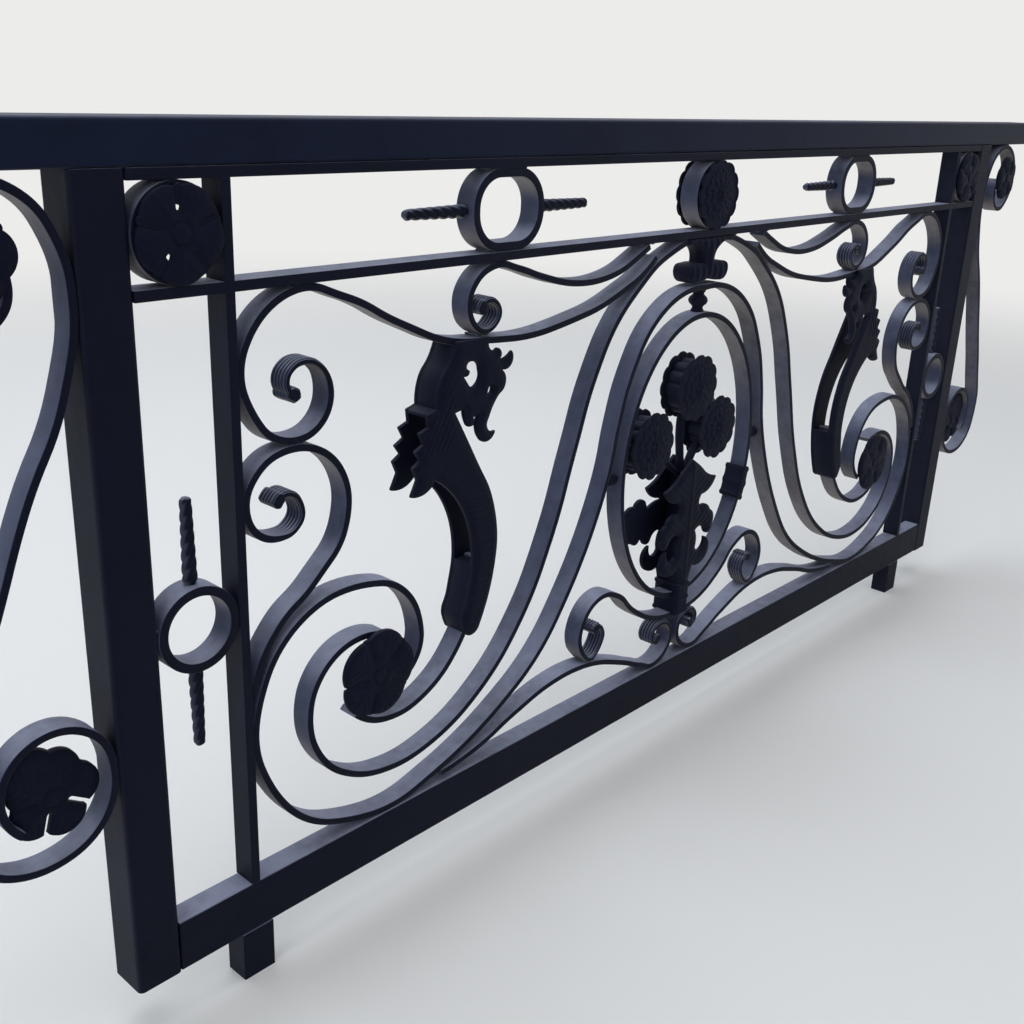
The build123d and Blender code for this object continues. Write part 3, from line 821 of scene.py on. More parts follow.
def cast_plate(loops, front, back, grain, rim, relief_front=None, relief_back=None):
    """A plate with rounded rims between two depths, each face with its own relief."""
    loops = [even_line(loop, 0.9 * grain) for loop in loops]
    flat, apart, triangles, origin, links = cast_face(loops, grain, rim)
    verts, faces = [], []
    for side, level, relief in ((-1, front, relief_front), (1, back, relief_back)):
        base = len(verts)
        fall = rim - np.sqrt(np.maximum(rim**2 - np.maximum(rim - apart, 0) ** 2, 0))
        rise = relief(flat[:, 0], flat[:, 1], apart) if relief else 0.0
        y = level - side * fall + side * rise * smooth((apart - 0.2 * rim) / (1.5 * rim))
        verts += [(x, depth, z) for (x, z), depth in zip(flat, y)]
        faces += [tuple(i + base for i in (t if side < 0 else t[::-1])) for t in triangles]
    where = {o: n for n, o in enumerate(origin) if 0 <= o < sum(len(loop) for loop in loops)}
    count = len(flat)
    for a, b in links:
        if a in where and b in where:
            a, b = where[a], where[b]
            faces.append((a, b, b + count, a + count))
    return verts, faces


def leaf_relief(middle, radius, turn, lobes=5, amount=0.0018, boss=0.010):
    """Lobes that swell between their slits, with a rib, side veins and a boss."""

    def relief(x, z, apart):
        dx, dz = x - middle[0], z - middle[1]
        r = np.hypot(dx, dz)
        part = (np.degrees(np.arctan2(dz, dx)) - turn) / (360 / lobes)
        swing = np.radians((part - np.floor(part) - 0.5) * 360 / lobes)
        aside = np.abs(r * np.sin(swing))
        far = r / radius
        swell = amount * smooth(apart / 0.008) * (0.55 + 0.45 * smooth(far / 0.6))
        rib = 0.0009 * np.exp(-((aside / 0.0016) ** 2)) * smooth((far - 0.2) / 0.2)
        veins = 0.0005 * np.sin(2 * math.pi * (r - 1.1 * aside) / 0.0085) * smooth((aside - 0.0015) / 0.003)
        veins *= smooth((far - 0.3) / 0.2) * smooth(apart / 0.004)
        dome = 0.0015 * np.sqrt(np.maximum(0, 1 - (r / boss) ** 2))
        ditch = 0.0012 * np.exp(-(((r - boss) / 0.0014) ** 2))
        return swell + rib + veins + (dome - ditch)

    return relief


def flower_skin(middle, radius, front, back, seed, petals=12, detail_back=True):
    """A flower head: tiers of petals on its faces, a notched edge and a waist between."""
    rng = random.Random(seed)
    around, rings_out = 180, 30
    turn = math.pi / 2 + math.pi / petals
    trim = [rng.uniform(0.0, 0.028) for _ in range(petals)]
    tiers = [(0.74, petals, 0.5, 0.0011), (0.47, petals - 3, 0.0, 0.0012), (0.21, 6, 0.3, 0.0013)]
    angles = 2 * math.pi * np.arange(around) / around

    def petal_edge(a, count, shift, deep):
        wave = np.abs(np.sin(count * (a - turn) / 2 + shift * math.pi))
        return 1 - deep * (1 - wave) ** 1.4

    cuts = np.array([trim[int(((a - turn) / (2 * math.pi) * petals) % petals)] for a in angles])
    edge = radius * (petal_edge(angles, petals, 0.0, 0.075) - cuts)

    def face_height(r, a):
        height = np.zeros_like(r)
        groove = np.abs(np.sin(petals * (a - turn) / 2))
        height += 0.0016 * groove**0.6 * smooth(1.4 - r / radius)
        for size, count, shift, step in tiers:
            rim_here = size * radius * petal_edge(a, count, shift, 0.16)
            on = smooth((rim_here - r) / 0.0016)
            groove = np.abs(np.sin(count * (a - turn) / 2 + shift * math.pi))
            hollow = 0.0004 * (r < rim_here) * (1 - r / (radius * size))
            height += on * (step + 0.0005 * groove**0.6 - hollow)
        return height

    def ring(scale, y):
        x = middle[0] + scale * np.cos(angles)
        z = middle[1] + scale * np.sin(angles)
        return [(float(a), float(b), float(c)) for a, b, c in zip(x, np.broadcast_to(y, x.shape), z)]

    rings = []
    shares = [0.012] + [((k + 1) / rings_out) ** 0.92 for k in range(rings_out)]
    for share in shares:
        r = edge * share
        lift = face_height(r, angles) * smooth((1.0 - share) / 0.035 + 0.15)
        rings.append(ring(r, front + RELIEF_TOP - lift))
    steps = FLOWER_EDGE if back - front > THICK_HEAD else FLOWER_EDGE[:1]
    rings += [ring(edge - inset, front + behind) for inset, behind in steps]
    rings += [ring(edge - inset, back - behind) for inset, behind in reversed(steps)]
    for share in reversed(shares if detail_back else shares[::4]):
        r = edge * share
        lift = face_height(r, angles) * smooth((1.0 - share) / 0.035 + 0.15) if detail_back else 0.0
        rings.append(ring(r, back - RELIEF_TOP + lift))
    return shell(rings)


def stem(points, radius=0.0048, taper=0.9, deep=1.5):
    """A stem along drawn points, thinner towards its end and deeper than wide."""
    places, ways = walk(arcs_through([on_panel(p) for p in points]), 0.004)
    rings = []
    for k, (place, way) in enumerate(zip(places, ways)):
        r = radius * (1 - (1 - taper) * k / (len(places) - 1))
        section = [(r * math.cos(a), deep * r * math.sin(a)) for a in turns(20)]
        rings.append(placed(place, (-way[1], way[0]), section, MIDDLE_Y))
    return shell(rings)


class RAILING_OT_flowers(bpy.types.Operator):
    """Cast the flowers of the band and the bouquet in the medallion"""

    bl_idname = "railing.flowers"
    bl_label = "Cast the flowers"

    def execute(self, context):
        sizes = context.scene.railing_sizes
        low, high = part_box("centre_flowers")
        middle = box_middle(low, high)
        radius = (high.z - low.z) / 2
        plate = sizes.plate
        skin = join(
            flower_skin(middle, radius, low.y, low.y + plate, seed=11, detail_back=False),
            flower_skin(middle, radius, high.y - plate, high.y, seed=12),
        )
        new_piece("centre_flower_castings", skin, "casting_paint", "centre_flowers")
        low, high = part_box("bouquet")
        skins = []
        for n, (along, height, share) in enumerate(FLOWER_HEADS):
            spot = on_panel((along, height))
            spot = (MIDDLE_X + spot[0], spot[1])
            radius = share * sizes.head_radius
            skins.append(flower_skin(spot, radius, low.y, high.y, seed=21 + n))
        skins += [stem(points) for points in STEMS]
        skins.append(self.stalk(low.y, high.y))
        for level, front, back, reliefs in (
            (low.y + plate / 2, low.y, low.y + plate, (self.leafage, None)),
            (high.y - plate / 2, high.y - plate, high.y, (None, self.leafage)),
        ):
            loops = [loop for loop in cut_lines("bouquet", level) if not self.is_head(loop)]
            skins.append(cast_plate(loops, front, back, sizes.grain, LEAFAGE_RIM, *reliefs))
        new_piece("bouquet_casting", join(*skins), "casting_paint", "bouquet")
        return {"FINISHED"}

    def is_head(self, loop):
        """Whether a closed line is the outline of a flower head."""
        size = loop.max(axis=0) - loop.min(axis=0)
        return size.max() < HEAD_OUTLINE[1] and size.min() > HEAD_OUTLINE[0]

    def stalk(self, front, back):
        """A ribbed stalk that swells where the leaves leave it."""
        heights, halves = zip(*STALK)
        spans = 45
        rings = []
        for k in range(spans + 1):
            height = heights[0] + (heights[-1] - heights[0]) * k / spans
            half = np.interp(height, heights, halves) / 1000
            deep = min(half * 1.25, (back - front) / 2 - 0.002)
            z = on_panel((0, height))[1]
            ring = []
            for a in turns(40):
                rib = 1 + 0.05 * math.cos(8 * a + 0.6 * math.sin(height / 24))
                ring.append((MIDDLE_X + half * rib * math.cos(a), MIDDLE_Y + deep * rib * math.sin(a), z))
            rings.append(ring)
        return shell(rings)

    def leafage(self, x, z, apart):
        """Leaves that swell, with veins that rise from the stalk outwards."""
        aside = np.abs(x - MIDDLE_X)
        veins = 0.0003 * np.sin(2 * math.pi * (z - 0.75 * aside) / 0.0120) * smooth(apart / 0.005)
        rib = 0.0009 * np.exp(-((aside / 0.003) ** 2))
        return 0.0026 * smooth(apart / 0.010) + veins * smooth(aside / 0.008) + rib


class RAILING_OT_leaves(bpy.types.Operator):
    """Cast the round leaves of the volutes, the end cells and the wings"""

    bl_idname = "railing.leaves"
    bl_label = "Cast the leaves"

    def execute(self, context):
        sizes = context.scene.railing_sizes
        # Volute leaves: a small gap is left at the outer end of one slit
        low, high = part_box("leaf_rosettes")
        middle = self.on_left(on_panel((605, 193)))
        loops = self.left(cut_lines("leaf_rosettes", (low.y + high.y) / 2))
        webs = [(183, 0.42, 0.76)] + [(a, 0.42, 0.86) for a in (111, 39, -33, -105)]
        skin = self.leaf(loops, middle, (high.z - low.z) / 2, low.y, high.y, 183, 0.0022, webs, sizes)
        self.place("leaf_rosettes", skin)
        # End cell leaves: two slits keep a hole at their inner end
        low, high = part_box("end_rosettes")
        gap = (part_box("left_post")[1].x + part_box("left_inner_upright")[0].x) / 2
        middle = np.array([gap, box_middle(*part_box("centre_ring"))[1]])
        loops = self.left(cut_lines("end_rosettes", (low.y + high.y) / 2))
        webs = [(a, 0.68, 0.88) for a in (88, -128)] + [(a, 0.46, 0.88) for a in (160, 16, -56)]
        skin = self.leaf(loops, middle, (high.z - low.z) / 2, low.y, high.y, 160, 0.0012, webs, sizes)
        self.place("end_rosettes", skin)
        # Wing leaves: the upper one on the front, the lower one with two faces
        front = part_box("wing_rosettes")[0].y
        loops = self.left(cut_lines("wing_rosettes", front + 0.003))
        webs = [(a, 0.42, 0.82) for a in (183, 111, 39, -33, -105)]
        middle = self.on_left(on_wing((88, 62)))
        upper = self.leaf(loops, middle, 0.040, front, front + WING_LEAF, 183, 0.0022, webs, sizes)
        loops = self.left(cut_lines("wing_rosettes", MIDDLE_Y))
        webs = [(a, 0.36, 0.74) for a in (183, 111, 39)]
        middle = self.on_left(on_wing((61, 550)))
        front, back = MIDDLE_Y - WING_LEAF_HALF, MIDDLE_Y + WING_LEAF_HALF
        lower = self.leaf(loops, middle, 0.046, front, back, 183, 0.0020, webs, sizes, True)
        self.place("wing_rosettes", join(upper, lower))
        return {"FINISHED"}

    def on_left(self, spot):
        """A spot of the right half, mirrored to the left in the frame's X and Z."""
        return np.array([MIDDLE_X - spot[0], spot[1]])

    def left(self, loops):
        """The closed lines of the left half."""
        return [loop for loop in loops if loop[:, 0].mean() < MIDDLE_X]

    def leaf(self, loops, middle, radius, front, back, turn, lift, webs, sizes, both=False):
        """A leaf whose rim lies back from the depth that its boss and ribs reach.

        Each web is a fold set back behind a slit: its angle, and where it starts and
        ends as shares of the radius.
        """
        relief = leaf_relief(middle, radius, turn)
        recess = RELIEF_TOP - lift
        behind = relief if both else None
        skins = [cast_plate(loops, front + recess, back, sizes.grain, CAST_RIM, relief, behind)]
        set_back = recess + WEB_BACK
        for angle, start, stop in webs:
            way = np.array([math.cos(math.radians(angle)), math.sin(math.radians(angle))])
            line = capsule_line(middle + way * start * radius, middle + way * stop * radius, WEB_HALF)
            far = back - (set_back if both else 0.0006)
            skins.append(cast_plate([line], front + set_back, far, 0.003, 0.0012))
        return join(*skins)

    def place(self, node, skin):
        """Casts the left half's leaves and their mirror image for one node."""
        new_piece(node + "_castings", join(skin, turned_over(skin)), "casting_paint", node)


class RAILING_OT_dragons(bpy.types.Operator):
    """Cast the two dragons, each of two plates filled between at the tail and the head"""

    bl_idname = "railing.dragons"
    bl_label = "Cast the dragons"

    def execute(self, context):
        sizes = context.scene.railing_sizes
        plate, grain = sizes.plate, sizes.grain
        low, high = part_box("left_dragon")
        loops = cut_lines("left_dragon", low.y + plate / 2)
        skins = [cast_plate(loops, low.y, low.y + plate, grain, CAST_RIM, self.hide)]
        outline = cut_lines("left_dragon", high.y - plate / 2)
        tall = high.z - low.z
        for block in (
            (low.z - tall, low.z + TAIL_FILLED * tall),
            (low.z + HEAD_FILLED * tall, high.z + tall),
        ):
            loops = kept_between(outline, *block)
            skins.append(cast_plate(loops, low.y + plate - 0.0004, high.y - plate + 0.0004, 0.004, 0.0010))
        skins.append(cast_plate(outline, high.y - plate, high.y, grain, CAST_RIM, None, self.hide))
        skin = join(*skins)
        for side, made in (("left", skin), ("right", turned_over(skin))):
            new_piece(f"{side}_dragon_casting", made, "casting_paint", f"{side}_dragon")
        return {"FINISHED"}

    def hide(self, x, z, apart):
        """Scales on the neck, strands in the mane and a ridge round the eye."""
        along = (MIDDLE_X - x) * 1000 / STRETCH_X
        height = (z - OPENING_Z) * 1000 / STRETCH_Z
        swell = 0.0024 * smooth(apart / 0.010)
        row = np.floor(height / 8.5)
        fu = along / 11 + 0.5 * np.mod(row, 2)
        fu = fu - np.floor(fu) - 0.5
        fv = height / 8.5 - row
        scales = 0.0008 * np.sqrt(np.maximum(0, 1 - (2 * fu) ** 2)) * (1 - fv)
        neck = smooth((432 - height) / 12) * smooth(apart / 0.005)
        mane = smooth((height - 432) / 12) * smooth((along - 492) / 10) * smooth(apart / 0.003)
        strands = 0.0006 * np.sin(2 * math.pi * (along + 0.55 * height) / 8.0)
        from_eye = np.hypot(along - 437, height - 496)
        brow = 0.0012 * np.exp(-(((from_eye - 9.5) / 2.6) ** 2))
        from_jaw = np.abs((height - 470) - 0.9 * (along - 455))
        jaw = 0.0007 * np.exp(-((from_jaw / 2.2) ** 2))
        jaw = jaw * smooth((486 - along) / 8) * smooth((height - 440) / 8)
        return swell + scales * neck + strands * mane + (brow + jaw) * smooth((height - 428) / 8)


class RAILING_OT_bud(bpy.types.Operator):
    """Cast the bud under the band bar"""

    bl_idname = "railing.bud"
    bl_label = "Cast the bud"

    def execute(self, context):
        sizes = context.scene.railing_sizes
        low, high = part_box("crown_bud")
        loops = cut_lines("crown_bud", MIDDLE_Y)
        skin = cast_plate(loops, low.y, high.y, sizes.grain, BUD_RIM, self.fold, self.fold)
        new_piece("crown_bud_casting", skin, "casting_paint", "crown_bud")
        return {"FINISHED"}

    def fold(self, x, z, apart):
        """Folds that run down and outwards from the bar."""
        aside = np.abs(x - MIDDLE_X)
        folds = 0.0010 * np.cos(2 * math.pi * aside / 0.014) * smooth(apart / 0.004)
        return 0.0022 * smooth(apart / 0.010) + folds


def banded_box(low, high, bands):
    """A wrapped collar with rounded corners and raised bands round it."""
    middle = [(a + b) / 2 for a, b in zip(low, high)]
    tall = high[2] - low[2]
    count = int(tall / 0.0011)
    rings = []
    for k in range(count + 1):
        z = low[2] + tall * k / count
        share = (z - low[2]) / tall
        end = min(share, 1 - share) * tall
        inset = COLLAR_END - COLLAR_END * math.sqrt(max(0, 1 - max(0, 1 - end / COLLAR_END) ** 2))
        raised = max(math.exp(-(((share - b) * tall / 0.0026) ** 4)) for b in bands)
        ring = []
        for a in turns(72, 0.5):
            px, py = (math.copysign(abs(c) ** 0.28, c) for c in (math.cos(a), math.sin(a)))
            rope = raised * (0.55 + 0.45 * abs(math.sin(9 * a + share * 16)))
            back = inset + BAND_RISE * (1 - rope)
            x = middle[0] + px * ((high[0] - low[0]) / 2 - back)
            y = middle[1] + py * ((high[1] - low[1]) / 2 - back)
            ring.append((x, y, z))
        rings.append(ring)
    return shell(rings)


def turned(start, way, outline):
    """A turned piece: a half outline of (along, radius) spun about a line."""
    way = np.array(way, float)
    side = np.array([way[2], 0.0, -way[0]])
    deep = np.array([0.0, 1.0, 0.0])
    rings = []
    for along, radius in outline:
        spot = np.array(start) + way * along
        rings.append([tuple(spot + radius * (math.cos(a) * side + math.sin(a) * deep)) for a in turns(36)])
    return shell(rings)


class RAILING_OT_collars(bpy.types.Operator):
    """Wrap and turn the collars that tie the medallion to the scrolls round it"""

    bl_idname = "railing.collars"
    bl_label = "Wrap the collars"

    def execute(self, context):
        wrap = context.scene.railing_sizes.wrap
        thickness = context.scene.railing_sizes.thickness
        low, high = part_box("medallion_oval")
        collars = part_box("medallion_collars")
        # Collar that ties the medallion's foot to the curls
        foot = (MIDDLE_X - FOOT_HALF, collars[0].y, on_panel((0, 77))[1])
        head = (MIDDLE_X + FOOT_HALF, collars[1].y, low.z + FOOT_LAP)
        skins = [banded_box(foot, head, (0.07, 0.5, 0.93))]
        # Spools between the medallion and the volutes
        spot = on_panel((178, 325))
        spool = turned((MIDDLE_X - spot[0] - 0.001, MIDDLE_Y, spot[1]), (-1, 0, 0), SPOOL)
        skins += [spool, turned_over(spool)]
        # Knop between the medallion's head and the volutes' meeting
        tall = on_panel((0, 571))[1] - HALF / 1000 - high.z
        profile = [(share * tall, radius) for share, radius in KNOP]
        profile = [(-0.001, 0.0090), *profile, (tall + 0.001, 0.0100)]
        skins.append(turned((MIDDLE_X, MIDDLE_Y, high.z), (0, 0, 1), profile))
        # Sleeve wrapped round the medallion's side
        middle = box_middle(low, high)
        width, height = high.x - low.x, high.z - low.z
        centre = math.asin(-SLEEVE_DROP / (height / 2))
        swing = SLEEVE_TALL / 2 / (width / 2 * 1.15)
        lines = []
        for grown in (2 * wrap, -2 * (thickness + 0.008)):
            span = (width + grown, height + grown)
            lines.append(oval_line(middle, *span, SLEEVE_RINGS, centre - swing, centre + swing))
        last = SLEEVE_RINGS - 1
        rings = []
        for k, (far, near) in enumerate(zip(*lines)):
            end = min(k, last - k) / last * SLEEVE_TALL
            end_band = math.exp(-((end - 0.004) / 0.0022) ** 2)
            middle_band = math.exp(-((end - 0.024) / 0.004) ** 2)
            inset = 0.0010 * (1 - end_band - middle_band)
            half = np.linalg.norm(far - near) / 2 - inset
            section = bar_section(half, STRAP_DEPTH + 2 * wrap - 2 * inset, 0.0025)
            rings.append(between_lines(far, near, section))
        skins.append(shell(rings))
        new_piece("medallion_collar_set", join(*skins), "casting_paint", "medallion_collars")
        return {"FINISHED"}


def bead(x, z, length, radius, rng):
    """A weld bead that runs across the depth of a strap, lumpy as it was laid."""
    rings = []
    spans = 22
    for k in range(spans + 1):
        share = k / spans
        end = math.sqrt(max(0.03, 1 - abs(2 * share - 1) ** 5))
        here = radius * end * (0.9 + 0.12 * abs(math.sin(math.pi * share * 7)) + rng.uniform(-0.04, 0.04))
        y = MIDDLE_Y + (share - 0.5) * length
        rings.append([(x + here * math.cos(a), y, z + here * math.sin(a)) for a in turns(12)])
    return shell(rings)


class RAILING_OT_beads(bpy.types.Operator):
    """Lay the weld beads where straps and rings meet the frame"""

    bl_idname = "railing.beads"
    bl_label = "Lay the weld beads"

    def execute(self, context):
        sizes = context.scene.railing_sizes
        gap = sizes.bead_gap
        spots = []
        for points in SCROLLS.values():
            for x, height in points:
                place = on_panel((x, height))
                if x == AT_SIDE:
                    spots += [(OPENING_X - BEAD_OFF, place[1] + way * gap) for way in (-1, 1)]
                elif height in (UNDER_BAR, ON_RAIL):
                    level = OPENING_TOP - BEAD_OFF if height == UNDER_BAR else OPENING_Z + BEAD_OFF
                    spots += [(place[0] + way * gap, level) for way in (-1, 1)]
        for contact in STRAP_CONTACTS:
            place = on_panel(contact)
            spots += [(place[0] + way * share * gap, place[1]) for way in (-1, 1) for share in (0.3, 0.75)]
        for point in ((ON_RAIL, 112), (ON_RAIL, 544)):
            place = on_wing(point)
            spots += [(POST_SIDE + BEAD_OFF, place[1] + way * gap) for way in (-1, 1)]
        place = on_wing((80, ON_RAIL))
        spots += [(place[0] + way * gap, HANDRAIL_Z - BEAD_OFF) for way in (-1, 1)]
        # Rings of the band, and of the end cells
        low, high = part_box("right_band_ring")
        middle = box_middle(low, high)[0] - MIDDLE_X
        for level in (low.z + BEAD_IN, high.z - BEAD_IN):
            spots += [(middle + way * BAND_BEADS, level) for way in (-1, 1)]
        low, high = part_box("right_end_ring")
        height = box_middle(low, high)[1]
        for side, inward in ((low.x, BEAD_IN), (high.x, -BEAD_IN)):
            spots += [(side - MIDDLE_X + inward, height + way * END_BEADS) for way in (-1, 1)]
        rng = random.Random(5)
        length = STRAP_DEPTH - 0.004
        skins = []
        for x, z in spots:
            for mirror_x in (-1, 1):
                radius = sizes.bead_radius * rng.uniform(0.85, 1.15)
                skins.append(bead(MIDDLE_X + mirror_x * x, z, length, radius, rng))
        new_piece("weld_beads", join(*skins), "bar_paint")
        return {"FINISHED"}


class Wiring:
    """Adds nodes to a tree and links them in reading order."""

    def __init__(self, tree):
        self.tree = tree

    def feed(self, socket, value):
        """Links a socket to another one, or sets it to a number."""
        if isinstance(value, bpy.types.NodeSocket):
            self.tree.links.new(value, socket)
        else:
            socket.default_value = value

    def math(self, operation, a, b=0.0, clamp=False):
        """The outcome of one sum on two values."""
        node = self.tree.nodes.new("ShaderNodeMath")
        node.operation = operation
        node.use_clamp = clamp
        self.feed(node.inputs[0], a)
        self.feed(node.inputs[1], b)
        return node.outputs[0]

    def plus(self, a, b, clamp=False):
        """Two values added."""
        return self.math("ADD", a, b, clamp)

    def times(self, a, b, clamp=False):
        """Two values multiplied."""
        return self.math("MULTIPLY", a, b, clamp)

    def noise(self, vector, scale, detail=3.0, rough=0.55):
        """A soft random pattern over a piece."""
        node = self.tree.nodes.new("ShaderNodeTexNoise")
        for label, value in (("Scale", scale), ("Detail", detail), ("Roughness", rough), ("Vector", vector)):
            self.feed(node.inputs[label], value)
        return node.outputs["Fac"]

    def ramp(self, value, low, high):
        """A smooth step from 0 at low to 1 at high."""
        node = self.tree.nodes.new("ShaderNodeMapRange")
        node.interpolation_type = "SMOOTHSTEP"
        for label, given in (("Value", value), ("From Min", low), ("From Max", high)):
            self.feed(node.inputs[label], given)
        return node.outputs["Result"]

    def mix(self, factor, a, b):
        """Two colours mixed by a factor."""
        node = self.tree.nodes.new("ShaderNodeMix")
        node.data_type = "RGBA"
        self.feed(node.inputs[0], factor)
        for index, value in ((6, a), (7, b)):
            self.feed(node.inputs[index], (*value, 1.0) if isinstance(value, tuple) else value)
        return node.outputs[2]

    def seen(self):
        """1 for what the eye sees, straight, mirrored or through glass, and 0 for the light cast."""
        path = self.tree.nodes.new("ShaderNodeLightPath").outputs
        straight = self.plus(path["Is Camera Ray"], path["Is Glossy Ray"])
        return self.plus(straight, path["Is Transmission Ray"], clamp=True)


# How each paint has worn and how strongly its painted light shows, in the order of these sockets of the
# shared group
# The first socket sets how strongly the painted light shows on the flats
WEAR_AND_LIGHT = ("Painted Light", "Dust", "Rust", "Gloss", "Lumps")
BAR_WEAR_AND_LIGHT = (1.0, 0.30, 0.55, 0.46, 1.0)
FRAME_WEAR_AND_LIGHT = (1.0, 0.30, 0.45, 0.46, 0.9)
CASTING_WEAR_AND_LIGHT = (0.05, 0.06, 0.35, 0.52, 1.3)
HANDRAIL_WEAR_AND_LIGHT = (0.20, 0.28, 0.35, 0.42, 0.7)
# Dust colour, tinted blue as a painted sky sheen on the tops
DUST_AND_SKY_SHEEN_COLOUR = (0.120, 0.128, 0.170)


def paint_group():
    """Paint that is brushed and weathered, with light and shade painted in: tone, gloss and height that vary
    over a piece, and colours painted by which way a face looks.
    """
    group = bpy.data.node_groups.new("weathered paint", "ShaderNodeTree")
    for label in ("Paint", "Painted Side Light", "Top Colour", "Under Colour", "Rust Colour"):
        group.interface.new_socket(name=label, in_out="INPUT", socket_type="NodeSocketColor")
    for label in WEAR_AND_LIGHT:
        group.interface.new_socket(name=label, in_out="INPUT", socket_type="NodeSocketFloat")
    group.interface.new_socket(name="Colour", in_out="OUTPUT", socket_type="NodeSocketColor")
    for label in ("Roughness", "Height"):
        group.interface.new_socket(name=label, in_out="OUTPUT", socket_type="NodeSocketFloat")
    w = Wiring(group)
    enter = group.nodes.new("NodeGroupInput").outputs
    leave = group.nodes.new("NodeGroupOutput").inputs
    place = group.nodes.new("ShaderNodeTexCoord").outputs["Object"]
    geometry_node = group.nodes.new("ShaderNodeNewGeometry")
    facing = group.nodes.new("ShaderNodeSeparateXYZ")
    group.links.new(geometry_node.outputs["Normal"], facing.inputs[0])
    # Tone drifts over a hand's width, and brush laps over a finger's
    drift = w.noise(place, 7.0, 3.0)
    laps = w.noise(place, 55.0, 4.0, 0.6)
    tone = w.plus(w.times(drift, 0.75), w.times(laps, 0.55))
    # Painted light on the flats that face sideways: a bluish painted sky light, a paler painted sky sheen
    # where they look up and a brownish painted ground bounce underneath; half-turned arrises take part of it
    # as a painted highlight
    edge_on = w.math("ABSOLUTE", facing.outputs["Y"])
    flat = w.math("SUBTRACT", 1.0, w.ramp(edge_on, 0.35, 0.92))
    flat = w.times(flat, enter["Painted Light"], clamp=True)
    up = w.ramp(facing.outputs["Z"], 0.35, 1.0)
    under = w.ramp(w.times(facing.outputs["Z"], -1.0), 0.05, 0.85)
    painted_light_colour = w.mix(up, enter["Painted Side Light"], enter["Top Colour"])
    painted_light_colour = w.mix(under, painted_light_colour, enter["Under Colour"])
    painted_light_share = w.times(flat, w.plus(0.80, w.times(w.ramp(tone, 0.42, 0.88), 0.20)))
    painted = w.mix(painted_light_share, enter["Paint"], painted_light_colour)
    darker = w.mix(w.ramp(tone, 0.30, 0.80), (0.0, 0.0, 0.0), painted)
    painted = w.mix(0.4, painted, darker)
    # Dust lies where a face looks up, thicker in patches; its colour is tinted blue as a painted sky sheen
    patches = w.ramp(w.noise(place, 28.0, 5.0, 0.65), 0.40, 0.74)
    film = w.plus(w.times(patches, 0.75), 0.25)
    lying = w.ramp(facing.outputs["Z"], 0.55, 0.98)
    dust = w.times(w.times(lying, film), enter["Dust"], clamp=True)
    dusty = w.mix(dust, painted, DUST_AND_SKY_SHEEN_COLOUR)
    # Rust shows in small chips, in some zones more than in others
    chips = w.ramp(w.noise(place, 210.0, 2.0, 0.5), 0.735, 0.775)
    zones = w.ramp(w.noise(place, 11.0, 2.0), 0.50, 0.72)
    rust = w.times(w.times(chips, zones), enter["Rust"], clamp=True)
    rusty = w.mix(rust, dusty, enter["Rust Colour"])
    group.links.new(rusty, leave["Colour"])
    rough = w.plus(enter["Gloss"], w.times(laps, 0.14))
    rough = w.plus(rough, w.times(dust, 0.35))
    rough = w.plus(rough, w.times(rust, 0.30), clamp=True)
    group.links.new(rough, leave["Roughness"])
    # Orange peel, brush laps and forge marks
    peel = w.times(w.noise(place, 620.0, 2.0), 0.16)
    runs = w.times(w.noise(place, 150.0, 3.0), 0.42)
    marks = w.times(w.noise(place, 36.0, 2.0), 0.90)
    height = w.plus(w.plus(peel, runs), marks)
    height = w.times(height, enter["Lumps"])
    height = w.math("SUBTRACT", height, w.times(rust, 0.35))
    group.links.new(height, leave["Height"])
    return group


def paint_material(name, group, colour, paints, wear, rounded=True, flat=None):
    """A painted metal that takes its variation and its painted light from the shared group."""
    material = bpy.data.materials.new(name)
    material.use_nodes = True
    tree = material.node_tree
    shader = tree.nodes["Principled BSDF"]
    node = tree.nodes.new("ShaderNodeGroup")
    node.node_tree = group
    # The flat, top and under colours are painted light: sky light, sky sheen and ground bounce
    for label, value in (
        ("Paint", colour),
        ("Painted Side Light", flat or paints.flat),
        ("Top Colour", paints.top),
        ("Under Colour", paints.under),
        ("Rust Colour", paints.rust),
    ):
        node.inputs[label].default_value = (*value, 1)
    for label, value in zip(WEAR_AND_LIGHT, wear):
        node.inputs[label].default_value = value
    bump = tree.nodes.new("ShaderNodeBump")
    bump.inputs["Strength"].default_value = 0.5
    bump.inputs["Distance"].default_value = 0.0008
    if rounded:
        bevel = tree.nodes.new("ShaderNodeBevel")
        bevel.samples = 6
        bevel.inputs["Radius"].default_value = 0.0014
        tree.links.new(bevel.outputs["Normal"], bump.inputs["Normal"])
    tree.links.new(node.outputs["Colour"], shader.inputs["Base Color"])
    tree.links.new(node.outputs["Roughness"], shader.inputs["Roughness"])
    tree.links.new(node.outputs["Height"], bump.inputs["Height"])
    tree.links.new(bump.outputs["Normal"], shader.inputs["Normal"])
    shader.inputs["Specular IOR Level"].default_value = 0.10
    shader.inputs["Specular Tint"].default_value = (0.70, 0.80, 1.0, 1.0)


